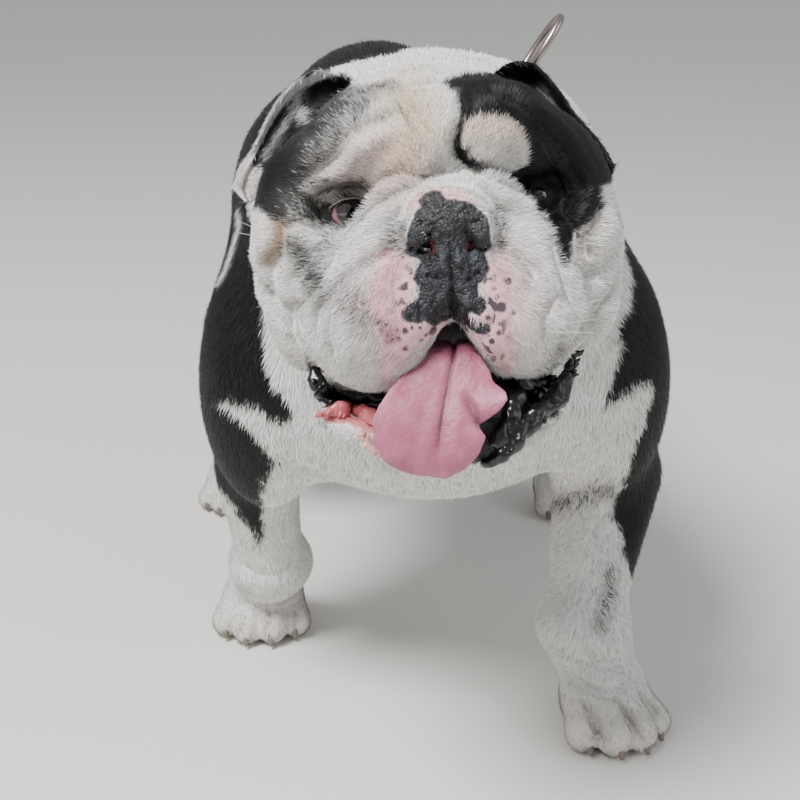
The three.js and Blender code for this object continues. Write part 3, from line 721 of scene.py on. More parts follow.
def outside(px, outline):
    """The signed distance in pixels to a closed outline: negative inside."""
    outline = np.asarray(outline, float)
    best, inside = np.full(len(px), 1e9), np.zeros(len(px), bool)
    for a, b in zip(outline, np.roll(outline, -1, 0)):
        along = b - a
        t = np.clip((px - a) @ along / (along @ along), 0, 1)
        best = np.minimum(best, np.linalg.norm(px - a - t[:, None] * along, axis=1))
        crossing = (a[1] > px[:, 1]) != (b[1] > px[:, 1])
        if along[1] != 0:
            inside ^= crossing & (px[:, 0] < a[0] + (px[:, 1] - a[1]) * along[0] / along[1])
    return np.where(inside, -best, best)


# The skin.
def edge_length(p):
    """How long the skin's mesh edges may be: finest round the nose, mouth and eyes."""
    longest = 8 - 4.4 * smooth_step(-20, -100, p[:, 1]) * smooth_step(190, 220, p[:, 2])
    longest = np.where(p[:, 2] < 100, 4.0, longest)
    local = into_head(p)
    front = smooth_step(34, 4, local[:, 1]) * smooth_step(-150, -130, local[:, 2])
    longest = longest + (2.5 - longest) * front
    middle = np.exp(-((local[:, 0] + 2) / 34) ** 4) * smooth_step(-92, -80, local[:, 2])
    middle = middle * smooth_step(18, 6, local[:, 2]) * (local[:, 1] < -14)
    eye_x, eye_z = np.abs(np.abs(local[:, 0] + 1) - EYE_HALF) / 18, (local[:, 2] + 1) / 14
    eyes = np.exp(-eye_x ** 4 - eye_z ** 4) * (local[:, 1] < 16)
    nose = inside_px(photo_px(p), NOSE_BLACK, 3) * (local[:, 1] < -10) * (local[:, 2] > -70)
    return longest * (1 - np.maximum(0.5 * np.maximum(middle, eyes), 0.62 * nose))


def fading(place):
    """1 along a fold, falling off towards its two ends."""
    return np.minimum(1, np.minimum(place, 1 - place) * 6 + 0.12)


def crease_shade(p):
    """How deep in a fold a place is, from 0 to 1."""
    deep = np.zeros(len(p))
    for line, depth, _, _ in FOLD_LINES:
        d, place = line_distance(p, line, 12.0)
        fade = fading(place)
        deep = np.maximum(deep, fade * np.exp(-(d / 2.6) ** 2) * min(1, depth / 6) * (d < 11))
    return deep


def fine_relief(points):
    """Granules on top of the nose, wrinkles below it, and lumps on the wet lips."""
    px = photo_px(points)
    front = (points[:, 1] < -150) & (points[:, 2] > 215)
    nose = inside_px(px, NOSE_BLACK, 2.0) * front
    top = smooth_step(234, 222, px[:, 1])
    knobs = 1.2 * np.abs(noise(points, 2.7, 81)) + 0.6 * noise(points, 1.9, 82)
    wrinkles = 1.2 * noise(points * [1.5, 1, 0.8], 3.2, 83) + 0.6 * noise(points, 1.9, 84)
    lip = np.maximum(inside_px(px, LIP_BLACK_RIGHT, 3), inside_px(px, LIP_BLACK_LEFT, 3))
    lip = np.maximum(lip, inside_px(px, LIP_SALMON, 3)) * front * (into_head(points)[:, 2] < -70)
    lumps = 1.3 * noise(points, 6, 85) + 0.8 * noise(points, 3, 86)
    return nose * (top * knobs * 1.3 + (1 - top) * wrinkles) + lip * lumps


def folded(points, tris):
    """Presses the folds into the skin along its normals, and raises the swellings."""
    up = normals_of(points, tris)
    facing = (up * (CAMERA_AT - points)).sum(1) > 0
    pressed, raised = np.zeros(len(points)), np.zeros(len(points))
    for line, depth, width, swell in FOLD_LINES:
        d, place = line_distance(points, line)
        fade = fading(place)
        pressed = np.maximum(pressed, depth * fade * np.exp(-d / width) * (d < 29))
        raised = np.maximum(raised, swell * fade * np.exp(-((d - 2.6 * width) / (1.5 * width)) ** 2))
    move = raised - pressed
    for place, height, half in SWELLINGS.values():
        middle = photo_hits([place], skin_field)
        move += height * np.exp(-(np.linalg.norm(points - middle, axis=1) / half) ** 2)
    head = smooth_step(-90, -150, points[:, 1]) * (points[:, 2] > 215)
    move += (0.9 * noise(points, 17, 3) + 0.5 * noise(points, 8, 4)) * (0.35 + 0.65 * head)
    move += fine_relief(points)
    local = into_head(points)
    for s in BOTH:
        lid = smooth_step(EYE_R + 2, EYE_R + 7, np.linalg.norm(local - eye_at(s), axis=1))
        move *= np.where(local[:, 1] < 20, lid, 1)
    sole = smooth_step(6, 14, points[:, 2])
    return points + (move * np.where(facing, 1.0, 0.6) * sole)[:, None] * up


NET_LOW, NET_HIGH, NET_STEP = (-192, -262, -9), (196, 456, 474), 7


def build_skin():
    """The closed skin: an even net, halved where it has to be finer, then folded."""
    points, tris = net(skin_field, NET_LOW, NET_HIGH, NET_STEP)
    points = settle(skin_field, relax(points, tris))
    for finer in range(4):
        points, tris = split_long(points, tris, edge_length)
        points = settle(skin_field, relax(points, tris, 0.35), 2 if finer > 1 else 1)
    return folded(points, tris), tris


FOLD_LINES = [(photo_hits(evenly(px), skin_field), depth, width, swell)
              for depth, width, swell, px in FOLDS.values()]


EAR_RIMS = {
    -1: ([[-36, 58, 66], [-54, 60, 76], [-66, 60, 73], [-76, 60, 66], [-84, 60, 56], [-90, 58, 46],
          [-96, 56, 37], [-102, 52, 30], [-106, 48, 19], [-101, 46, 11]],
         [[-34, 50, 56], [-46, 54, 53], [-58, 56, 50], [-68, 56, 47], [-76, 56, 43], [-83, 54, 36],
          [-88, 50, 28], [-91, 48, 21], [-92, 48, 16], [-97, 46, 11]]),
    1: ([[34, 58, 64], [46, 62, 71], [57, 62, 70], [64, 62, 64], [71, 62, 54], [77, 60, 43],
         [83, 58, 34], [90, 56, 24], [95, 52, 11], [92, 50, 3]],
        [[32, 48, 54], [42, 52, 52], [50, 56, 50], [57, 58, 48], [64, 58, 43], [70, 58, 35],
         [76, 56, 26], [80, 54, 17], [83, 52, 8], [88, 50, 4]]),
}
EAR_THICK = 3.0


def ear_flap(s):
    """A rose ear: a thin flap between two rims, cupped backwards, the tip hanging beside the cheek."""
    steps, across = 60, 21
    outer, inner = (spline(rim, steps + 1) for rim in EAR_RIMS[s])
    v = np.linspace(0, 1, across)[:, None]
    rings = []
    for i in range(steps + 1):
        t = i / steps
        cup = 16 - 13 * min(1, t * 1.3)
        middle = outer[i] * (1 - v) + inner[i] * v
        middle[:, 1:2] += cup * 4 * v * (1 - v)
        groove, rim = np.exp(-((v - 0.45) / 0.13) ** 2), np.exp(-((v - 0.12) / 0.1) ** 2)
        if s < 0:
            middle[:, 1:2] -= 3.4 * smooth_step(0.6, 0.72, t) * (1 - 1.5 * groove) * np.sin(np.pi * v)
        else:
            swell = np.exp(-((v - 0.75) / 0.14) ** 2)
            middle[:, 1:2] -= np.sin(np.pi * t) * (3.6 * rim - 2.5 * groove + 3.0 * swell)
        half = EAR_THICK / 2 * (0.4 + 0.6 * np.sin(np.pi * v))
        front, back = middle.copy(), middle.copy()
        front[:, 1:2] -= half
        back[:, 1:2] += half
        rings.append(on_head(np.vstack([front, back[::-1]])))
    return loft(rings)


TONGUE_LINE = [[0, 24, -74], [0, -4, -70], [-1, -22, -73], [-6, -33, -88], [-11, -40, -104],
               [-14, -42, -120], [-13, -38, -131]]
# The tongue's edges, as half widths at places along that line: the right lobe, and the notched left one.
TONGUE_RIGHT = [(0, 14), (1, 15), (2, 18), (3, 28), (3.5, 33), (4, 34.5), (4.5, 33), (5, 28.5), (5.5, 22.5),
                (5.8, 17.5), (5.93, 13), (6, 7)]
TONGUE_LEFT = [(0, 14), (1, 12), (2, 10), (3, 21), (3.35, 27), (3.6, 29), (3.8, 26), (4, 21), (4.15, 17.5),
               (4.3, 18), (4.5, 20.5), (5, 18.5), (5.5, 13.5), (5.8, 9.5), (5.93, 7.5), (6, 5)]
TONGUE_THICK = 8.0
# The tongue's colours; the darkest one is painted shade in its groove, its fold and inside the mouth.
TONGUE_HEX, TONGUE_RIM_HEX, TONGUE_SHADE_HEX = "#984f67", "#b0687f", "#40202a"


def tongue():
    """A wide strap, grooved along its middle and folded at a notch, hanging over the chin."""
    steps, around = 130, 120
    at = spline(TONGUE_LINE, steps + 1)
    along = np.gradient(at, axis=0)
    aside = np.array([1, 0, -0.05])
    aside /= np.linalg.norm(aside)
    out = np.cross(along, aside)
    out /= np.linalg.norm(out, axis=1)[:, None]
    t = np.linspace(0, 6, steps + 1)
    half = [np.interp(t, *np.array(side, float).T) for side in (TONGUE_RIGHT, TONGUE_LEFT)]
    a = 2 * np.pi * np.arange(around) / around
    across, top = np.cos(a), np.clip(np.sin(a), 0, 1)
    rings, groove_shades = [], []
    for i in range(steps + 1):
        wide = np.where(across < 0, half[0][i], half[1][i])
        x = wide * across
        lift = TONGUE_THICK / 2 * np.sin(a) * (1 - 0.35 * across ** 2) + 5 * (x / 30) ** 2 - 2
        lift -= 2.0 * np.exp(-((x + 1.5) / 1.5) ** 2) * top ** 0.3 * smooth_step(5.4, 4.4, t[i])
        lift -= 0.8 * np.exp(-((x + 1.5) / 6) ** 2) * top ** 0.3 * smooth_step(5.8, 4.8, t[i])
        fold = np.exp(-((x - 9 - 11 * (t[i] - 3.4)) / 2.2) ** 2) * (x > 2)
        fold = fold * smooth_step(3.1, 3.6, t[i]) * smooth_step(4.35, 4.1, t[i])
        lift -= 2.2 * fold
        lift += 3.0 * smooth_step(14, 29, x) * np.exp(-((t[i] - 3.55) / 0.4) ** 2)
        lift += 0.25 * np.sin(0.55 * x + 1.1 * t[i]) * np.exp(-((t[i] - 4.2) / 1.4) ** 2) * top
        # Painted shade in the middle groove and in the fold.
        middle = 1.3 * np.exp(-((x + 1.5) / 0.8) ** 2) * smooth_step(5.2, 4.0, t[i]) * top
        groove_shades.append(middle + 0.8 * fold * (t[i] < 4.3))
        rings.append(at[i] + np.outer(x, aside) + np.outer(lift, out[i]))
    points, tris = loft([on_head(ring) for ring in rings])
    up = normals_of(points, tris)
    papillae = 0.16 * noise(points, 1.3, 51) + 0.45 * noise(points, 6, 52)
    papillae += 0.2 * noise(points * [1, 1, 0.3], 1.8, 53)
    groove = np.concatenate(groove_shades + [[0, 0]])
    # The back of the tongue, inside the mouth, is painted darker too: painted shade.
    inside = smooth_step(-88, -70, into_head(points)[:, 2])
    tone = speckled(points, TONGUE_HEX, TONGUE_RIM_HEX, 8, 54)
    tone = mix(tone, linear(TONGUE_SHADE_HEX), np.clip(0.75 * groove + 0.45 * inside, 0, 1))
    return (points + papillae[:, None] * up, tris), tone


# The wet lips of the lower jaw, along lines in the photo, with the papillae on their edges.
LIP_LINE_RIGHT = [(317, 360), (315, 374), (322, 389), (340, 398), (364, 400), (390, 396)]
LIP_GUM_RIGHT = [(320, 398), (340, 407), (362, 408), (386, 404)]
SALMON_LINE = [(322, 414), (334, 409), (350, 411), (365, 414), (377, 424), (384, 438)]
CHIN_LINE = [(360, 428), (367, 440), (377, 452)]
LIP_LINE_LEFT = [(574, 350), (568, 372), (561, 392), (548, 407), (532, 417), (519, 432), (508, 449),
                 (486, 464)]
LIP_INSIDE_LEFT = [(508, 366), (522, 384), (538, 392), (556, 378)]
LIP_INNER_LEFT = [(514, 388), (516, 408), (506, 428), (496, 446)]
LIPS = [(LIP_LINE_RIGHT, 4.8, -0.6, LIP_INK_HEX, 12, 1.6), (LIP_GUM_RIGHT, 3.2, -0.4, LIP_INK_HEX, 6, 1.0),
        (SALMON_LINE, 4.4, 0.8, SALMON_HEX, 18, 1.8), (CHIN_LINE, 2.8, 0.2, CHIN_HEX, 14, 1.4),
        (LIP_LINE_LEFT, 6.0, 0.6, LIP_INK_HEX, 18, 1.8), (LIP_INSIDE_LEFT, 6.0, 0.4, LIP_INK_HEX, 3, 1.0),
        (LIP_INNER_LEFT, 6.4, 0.2, LIP_INK_HEX, 3, 1.0)]


def jaw_hits(px, lift):
    return photo_hits(evenly(px, 3.0), lambda p: jaw_mass(into_head(p)) - lift)


def lips():
    """Soft uneven ropes of wet lip, with blunt papillae standing out from them, and their colours."""
    meshes, tones = [], []
    for px, radius, lift, tone, many, reach in LIPS:
        line = jaw_hits(px, lift)
        t = np.linspace(0, 1, 24)
        radii = radius * (0.15 + 0.85 * np.sin(np.pi * np.clip(t, 0.02, 0.98)) ** 0.6)
        points, tris = rope(line, radii, around=30, steps=len(line) * 4, flat=0.8, up=(0.2, -1, 0.1))
        up = normals_of(points, tris)
        uneven = 1.8 * noise(points, 6, 61) + 0.6 * noise(points, 2.8, 62)
        meshes.append((points + (uneven * radius / 5)[:, None] * up, tris))
        tones.append(np.tile(linear(tone), (len(points), 1)) * (1 + 0.4 * noise(points, 3, 63))[:, None])
        centre = line.mean(0)
        for _ in range(many):
            k = rng.integers(len(line))
            out = unit((line[k] - centre)[None] + 6 * rng.normal(size=(1, 3)) + [[0, -8, -9]])[0]
            root = line[k] + out * radius * 0.45
            tip = root + out * (radius * 0.5 + reach * rng.random())
            bend = 0.35 * rng.normal(size=3)
            thick = 1.2 + 1.0 * rng.random()
            cone = rope([root, (root + tip) / 2 + bend, tip], [thick, thick * 0.8, thick * 0.25], around=8,
                        steps=7, up=(0.3, 0.2, 1))
            meshes.append(cone)
            tones.append(np.tile(linear(tone) * 1.1, (len(cone[0]), 1)))
    return joined(meshes), np.vstack(tones)


def cast(field, origins, ways, reach=170.0):
    """How far along each way from its origin a field's zero level is."""
    inner, outer = np.zeros(len(ways)), np.full(len(ways), reach)
    found = np.zeros(len(ways), bool)
    for r in np.arange(3, reach, 3):
        out = ~found & (field(origins + r * ways) > 0)
        inner[out], outer[out] = r - 3, r
        found |= out
    for _ in range(12):
        middle = (inner + outer) / 2
        out = field(origins + middle[:, None] * ways) > 0
        outer, inner = np.where(out, middle, outer), np.where(out, inner, middle)
    return inner


COLLAR_WIDTH, COLLAR_BACK = 16.0, [0, -47, 445]
# How deep the band sinks into the loose skin on top of the neck, where the photo's fur covers it.
SCRUFF_DEPTH = 8.5
CUT_NORMAL = np.array([0, -0.973, 0.229]) / math.hypot(0.973, 0.229)
NECK_AXIS_AT = np.array([-3.0, -80, 348])


def band_line(across, lift):
    """A closed line round the neck, at a share of the band's width and a height over the coat's outline."""
    u = np.array([1.0, 0, 0])
    w = np.cross(CUT_NORMAL, u)
    angles = 2 * np.pi * np.arange(160) / 160
    ways = np.outer(np.cos(angles), u) + np.outer(np.sin(angles), w)
    level = CUT_NORMAL @ np.array(COLLAR_BACK, float) + across * COLLAR_WIDTH
    origin = NECK_AXIS_AT + (level - CUT_NORMAL @ NECK_AXIS_AT) * CUT_NORMAL
    reach = cast(flesh, np.repeat(origin[None], len(ways), 0), ways)
    scruff = SCRUFF_DEPTH * smooth_step(0.3, 0.85, ways[:, 2])
    return origin + (reach + lift - scruff)[:, None] * ways


def collar_band():
    """A band round the neck behind the ears, its edges rounded."""
    profile = [(0, 0.6), (0, 2.6), (0.08, 3.6), (0.5, 3.9), (0.92, 3.6), (1, 2.6), (1, 0.6), (0.5, 0.4)]
    rings = np.array([band_line(across, lift) for across, lift in profile])
    return loft(list(np.swapaxes(rings, 0, 1)), closed=True)


STITCH_PITCH, STITCH_LENGTH, STITCH_THICK, STITCH_LIFT, STITCH_ROWS = 5.0, 3.4, 0.9, 4.0, (0.16, 0.84)


def stitch_tree(finish):
    """Thread stitches at an even pitch along a closed line."""
    tree = bpy.data.node_groups.new("stitches", "GeometryNodeTree")
    tree.interface.new_socket("Line", in_out="INPUT", socket_type="NodeSocketGeometry")
    for name in ("Pitch", "Length", "Thickness"):
        tree.interface.new_socket(name, in_out="INPUT", socket_type="NodeSocketFloat")
    tree.interface.new_socket("Stitches", in_out="OUTPUT", socket_type="NodeSocketGeometry")
    given = tree.nodes.new("NodeGroupInput").outputs
    result = tree.nodes.new("NodeGroupOutput")
    line = node(tree, "GeometryNodeMeshToCurve", None, Mesh=given["Line"])
    dots = node(tree, "GeometryNodeResampleCurve", {"mode": "LENGTH"}, Curve=line.outputs[0],
                Length=given["Pitch"])
    thread = node(tree, "GeometryNodeMeshUVSphere", None, Segments=8, Rings=6, Radius=0.5)
    along = node(tree, "GeometryNodeInputTangent")
    turned = node(tree, "FunctionNodeAlignRotationToVector", {"axis": "Z"}, Vector=along.outputs[0])
    size = node(tree, "ShaderNodeCombineXYZ", None, X=given["Thickness"], Y=given["Thickness"],
                Z=given["Length"])
    placed = node(tree, "GeometryNodeInstanceOnPoints", None, Points=dots.outputs[0],
                  Instance=thread.outputs["Mesh"], Rotation=turned.outputs[0], Scale=size.outputs[0])
    real = node(tree, "GeometryNodeRealizeInstances", None, Geometry=placed.outputs[0])
    sewn = node(tree, "GeometryNodeSetMaterial", None, Geometry=real.outputs[0], Material=finish)
    tree.links.new(sewn.outputs[0], result.inputs[0])
    return tree


def sewn_along(name, line, tree, sizes):
    """A row of stitches along a closed line, as a plain mesh."""
    data = bpy.data.meshes.new(name)
    ends = [(i, (i + 1) % len(line)) for i in range(len(line))]
    data.from_pydata(to_frame(line).tolist(), ends, [])
    row = bpy.data.objects.new(name, data)
    bpy.context.collection.objects.link(row)
    modifier = row.modifiers.new("stitches", "NODES")
    modifier.node_group = tree
    for socket in tree.interface.items_tree:
        if socket.in_out == "INPUT" and socket.name in sizes:
            modifier[socket.identifier] = sizes[socket.name]
    graph = bpy.context.evaluated_depsgraph_get()
    mesh = bpy.data.meshes.new_from_object(row.evaluated_get(graph), depsgraph=graph)
    row.modifiers.clear()
    row.data = mesh
    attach(row, "root")


RING_FOOT, RING_LEAN = np.array([42.0, -60, 417]), np.array([0.55, 0, 0.84])
RING_HALF_LENGTH, RING_HALF_WIDTH, RING_WIRE_R = 22.0, 12.0, 2.3


def collar_ring():
    up = RING_LEAN / np.linalg.norm(RING_LEAN)
    middle = RING_FOOT + (RING_HALF_LENGTH + 8) * up
    a = 2 * np.pi * np.arange(64) / 64
    line = middle + RING_HALF_LENGTH * np.outer(np.sin(a), up)
    line += RING_HALF_WIDTH * np.outer(np.cos(a), [0, 1, 0])
    wire = rope(line, [RING_WIRE_R], around=14, closed=True, up=(1, 0, -0.6))
    keeper = rope([RING_FOOT - 12 * up, RING_FOOT, RING_FOOT + 9 * up], [6, 5.5, 3.2], around=16, steps=12,
                  up=(0, 1, 0))
    return joined([wire, keeper])


# Whiskers: roots and tips in the photo's pixels.
WHISKERS = [((552, 326), (601, 319)), ((548, 332), (596, 334)), ((545, 318), (588, 306)),
            ((556, 312), (603, 300)), ((270, 236), (238, 222)), ((268, 240), (236, 234)),
            ((352, 318), (322, 330)), ((348, 330), (318, 346)), ((356, 340), (330, 362)),
            ((512, 336), (530, 352)), ((398, 345), (384, 364))]


def whiskers():
    """Single long hairs on the flews, cheeks and brows, bowed a little outwards."""
    made = []
    for start, end in WHISKERS:
        root = photo_hits([start], skin_field)[0]
        reach = (np.array(end, float) - start) * PX_MM
        tip = root + reach[0] * ASIDE - reach[1] * ABOVE - 9 * AHEAD
        middle = (root + tip) / 2 - 3.5 * AHEAD
        made.append(rope([root, middle, tip], [0.15, 0.12, 0.05], around=5, steps=12, up=tuple(AHEAD)))
    return joined(made)


# The pale margin of the right eye's upper lid.
LID_LINE = [(329, 208), (336, 203), (345, 199), (354, 198), (362, 200)]


def lid_margin():
    line = photo_hits(evenly(LID_LINE, 3), lambda p: skin_field(p) - 1.6)
    points, tris = rope(line, [0.15, 0.32, 0.4, 0.32, 0.15], around=10, steps=40, up=tuple(AHEAD))
    return points + (0.15 * noise(points, 1.5, 91))[:, None], tris


def claws():
    made = []
    for leg, half in [(FORELEG[s], FOREPAW_HALF) for s in BOTH] + [(HINDLEG[s], HINDPAW_HALF) for s in BOTH]:
        at = paw_place(leg, half)
        for a, ahead in zip(TOES_ASIDE, TOES_AHEAD):
            line = [at(a, -ahead - 2, 11), at(a, -ahead - 7.5, 9.5), at(a * 1.02, -ahead - 11, 6.6),
                    at(a * 1.03, -ahead - 12.4, 3.6)]
            made.append(rope(line, [3.4, 3.0, 2.3, 1.2], around=12, steps=10, up=(1, 0, 0)))
    return joined(made)


# Markings, as outlines in the photo where it shows them and as places on the body elsewhere.
MASK_RIGHT = [(355, 91), (392, 80), (393, 87), (371, 101), (355, 119), (336, 143), (327, 161), (311, 177),
              (300, 188), (318, 199), (334, 206), (345, 197), (358, 195), (366, 201), (356, 214),
              (340, 228), (316, 224), (293, 222), (274, 217), (258, 210), (244, 208), (240, 165),
              (258, 125), (290, 86), (330, 78)]
MASK_LEFT = [(447, 80), (465, 74), (488, 74), (520, 56), (560, 60), (612, 150), (612, 182), (598, 186),
             (602, 207), (582, 224), (571, 240), (562, 266), (553, 242), (544, 219), (523, 191),
             (507, 178), (481, 170), (460, 166), (454, 156), (457, 130), (460, 119), (456, 96), (443, 86)]
MASK_GREY = [(296, 212), (316, 200), (328, 178), (326, 150), (345, 118), (368, 96)]
CREAM_SPOT_LEFT = [(465, 122), (481, 117), (505, 119), (521, 128), (528, 146), (524, 164), (507, 175),
                   (486, 168), (471, 158), (463, 143)]
NAPE_WHITE = [(314, 73), (334, 66), (358, 57), (384, 44), (440, 38), (498, 40), (512, 58), (492, 74),
              (465, 74), (440, 82), (392, 81), (362, 88), (350, 79), (330, 74)]
NOSE_BLACK = [(424, 194), (432, 190), (441, 191), (447, 199), (460, 200), (471, 202), (481, 209),
              (489, 219), (491, 230), (492, 243), (490, 249), (484, 253), (489, 261), (490, 271),
              (484, 280), (478, 285), (480, 294), (486, 301), (487, 309), (480, 316), (472, 312),
              (466, 316), (474, 322), (490, 324), (491, 332), (483, 336), (473, 332), (460, 324),
              (451, 318), (443, 321), (434, 326), (426, 323), (413, 324), (402, 318), (401, 309),
              (411, 303), (418, 298), (418, 288), (413, 280), (415, 270), (420, 261), (409, 257),
              (404, 252), (407, 246), (406, 236), (409, 225), (413, 214), (421, 207), (419, 200)]
PINK_RIGHT = [(382, 249), (403, 251), (415, 265), (417, 285), (413, 303), (452, 322), (440, 334),
              (420, 346), (402, 364), (388, 388), (378, 378), (383, 345), (376, 322), (368, 300),
              (374, 277)]
PINK_LEFT = [(491, 254), (508, 258), (513, 284), (509, 308), (513, 330), (514, 362), (506, 374),
             (490, 358), (472, 334), (480, 300), (484, 275)]
PINK_ABOVE = [(408, 212), (409, 200), (418, 194), (432, 188), (455, 189), (470, 196), (478, 206),
              (450, 204), (425, 204), (416, 212)]
SPOTS = [((403, 289), 2.4), ((405, 331), 2.8), ((420, 328), 2.0), ((405, 349), 3.0), ((379, 322), 3.0),
         ((380, 331), 2.4), ((508, 281), 4.0), ((501, 307), 5.0), ((513, 313), 2.6), ((499, 333), 2.6),
         ((492, 341), 2.8), ((493, 359), 3.0), ((503, 356), 2.2), ((488, 318), 3.4), ((483, 331), 3.6),
         ((363, 303), 2.6), ((497, 297), 3.0), ((392, 312), 2.0), ((398, 338), 2.2)]
SHOULDER_RIGHT = [(246, 190), (262, 250), (260, 275), (266, 296), (264, 333), (266, 361), (272, 379),
                  (284, 397), (294, 415), (280, 422), (263, 413), (246, 405), (227, 400), (218, 404),
                  (120, 404), (120, 20), (380, 20), (382, 44), (358, 56), (332, 65), (300, 84), (274, 108),
                  (254, 150)]
ARM_RIGHT = [(218, 402), (227, 407), (246, 425), (258, 440), (273, 456), (281, 463), (273, 467),
             (266, 480), (260, 493), (263, 513), (263, 529), (261, 547), (246, 523), (230, 500),
             (220, 488), (120, 500), (120, 402)]
STREAK_RIGHT = [(238, 208), (240, 222), (236, 238), (231, 256), (226, 270), (219, 282)]
SHOULDER_LEFT = [(617, 236), (626, 259), (630, 280), (628, 300), (619, 321), (616, 334), (621, 348),
                 (617, 366), (610, 387), (605, 405), (616, 398), (635, 384), (653, 379), (651, 398),
                 (646, 420), (637, 441), (630, 459), (627, 477), (617, 496), (611, 511), (621, 536),
                 (623, 556), (632, 578), (720, 560), (720, 200), (640, 200)]
GREY_ELBOW = [(608, 490), (586, 495), (562, 502)]
GREY_SHIN = [(611, 568), (606, 600), (599, 624)]
RIM_RIGHT = [(352, 70), (322, 74), (298, 84), (278, 104), (262, 130), (251, 152), (244, 168)]
EAR_TUFT_RIGHT = [(299, 94), (296, 104), (306, 116), (311, 124)]
EAR_GREY_RIGHT = [(296, 106), (286, 122), (277, 140), (266, 156)]
MUZZLE_SPECKLED = [(408, 262), (396, 285), (392, 330), (404, 352), (430, 340), (452, 326), (474, 340),
                   (492, 366), (510, 360), (508, 320), (498, 285), (494, 262)]
TIP_RIGHT = [(226, 158), (247, 156), (262, 166), (268, 182), (258, 208), (228, 205)]
EAR_GREY_LEFT = [(541, 86), (548, 100), (558, 122)]
LIP_BLACK_RIGHT = [(304, 350), (318, 366), (330, 380), (350, 391), (394, 391), (394, 404), (362, 411),
                   (330, 411), (308, 398)]
LIP_SALMON = [(318, 412), (345, 402), (378, 402), (394, 410), (388, 434), (368, 434), (345, 425),
              (322, 422)]
CHIN_PINK = [(366, 430), (386, 432), (398, 450), (408, 468), (392, 464), (372, 446)]
LIP_BLACK_LEFT = [(468, 428), (484, 404), (486, 376), (498, 362), (520, 380), (556, 350), (574, 362),
                  (570, 400), (560, 420), (540, 416), (522, 432), (517, 460), (492, 468), (466, 464)]
# Grizzled places on the head: how dark, how wide in pixels, and the line that they follow.
GRIZZLE = {"right brow": (0.55, 8, [(312, 184), (340, 186), (368, 186)]),
           "right cheek": (0.75, 11, [(296, 247), (306, 258), (316, 279)]),
           "under the right eye": (0.35, 9, [(330, 240), (318, 262), (322, 300)]),
           # Beside the right nostril wing the dark stands for dark short hairs and for painted shade in the
           # fold under the wing.
           "right of the nose": (0.62, 8, [(400, 226), (393, 240), (404, 250)]),
           "left of the nose": (0.5, 6, [(498, 245), (500, 228), (494, 212)]),
           "right flew": (0.3, 16, [(352, 300), (368, 318), (390, 330)]),
           "left lip": (0.4, 10, [(520, 392), (545, 375), (560, 350)])}
# Warmer places on the head, in the same way.
CREAM_FOREHEAD = [(408, 100), (420, 130), (400, 160)]
ROSY_BROW = [(352, 166), (384, 150), (404, 172), (386, 190)]
TAN_PLACES = {"behind the right cheek": (0.9, 9, [(283, 224), (279, 244), (270, 258)]),
              "left cheek": (0.55, 6, [(592, 222), (584, 240), (584, 256)]),
              "right brow": (0.30, 12, [(372, 178), (345, 186), (330, 190)])}
FLUSH = {"right flew": (0.35, 22, [(392, 262), (372, 300), (392, 340)]),
         "left flew": (0.3, 18, [(505, 262), (520, 300), (510, 345)])}
# Each nostril's middle, and the distances in pixels between which its pink fades out.
NOSTRILS = [((430, 246), 9, 7), ((468, 245), 8, 6)]
MOUTH_GAP = mouth_gap()

WHITE, BLACK, CREAM, TAN, PINK = (linear(c) for c in ("#f5f3f0", "#08080a", "#dcc4a3", "#a58b6c", "#dd8f9d"))
NOSE_LEATHER, SALMON, MOUTH_FLESH_IN_SHADE, LIP_INK, SPOT, NOSE_SHEEN_PAINT, NOSTRIL = (
    linear(c) for c in ("#2b2c30", "#b3676a", "#2a1518", "#0f0f12", "#4a3c44", "#565a62", "#6a2f35"))
LID_MARGIN, CRUST_HEX = linear("#9b8780"), "#62615a"


def inside_px(px, outline, soft=2.0, rough=0.0):
    """1 inside an outline and 0 outside, over a soft and ragged edge in pixels."""
    outline = np.asarray(outline, float)
    near = ((px > outline.min(0) - 20) & (px < outline.max(0) + 20)).all(1)
    share, soft, rough = np.zeros(len(px)), np.broadcast_to(soft, len(px)), np.broadcast_to(rough, len(px))
    if near.any():
        share[near] = smooth_step(soft[near], -soft[near], outside(px[near], outline) + rough[near])
    return share


def line_distance_px(px, line, most):
    """The distance in pixels to a line in the photo."""
    flat = np.concatenate([px, np.zeros((len(px), 1))], 1)
    return line_distance(flat, np.concatenate([np.array(line, float), np.zeros((len(line), 1))], 1), most)[0]


def along_px(px, line, half):
    """1 on a line in the photo, falling to 0 at the given number of pixels from it."""
    d = line_distance_px(px, line, 2.5 * half)
    return np.exp(-(d / half) ** 2) * (d < 2.4 * half)


def strongest(px, places):
    return np.maximum.reduce([share * along_px(px, line, half) for share, half, line in places.values()])


def mix(a, b, share):
    return a + (b - a) * np.asarray(share)[..., None]


def seen(p, up):
    """What the markings ask of places on the skin: where they are, which face the camera, which are head."""
    view = CAMERA_AT - p
    facing = (up * view).sum(1) / np.linalg.norm(view, axis=1)
    head = (p[:, 1] < -60) & (p[:, 2] > 205)
    head &= head_field(p) < rump_to_neck(p) + 1.5
    return SimpleNamespace(p=p, px=photo_px(p), local=into_head(p), facing=facing, front=facing > -0.16,
                           head=head, ragged=2.2 * noise(p, 5, 11) + 1.6 * noise(p, 2.2, 12),
                           wander=noise(p, 26, 17))


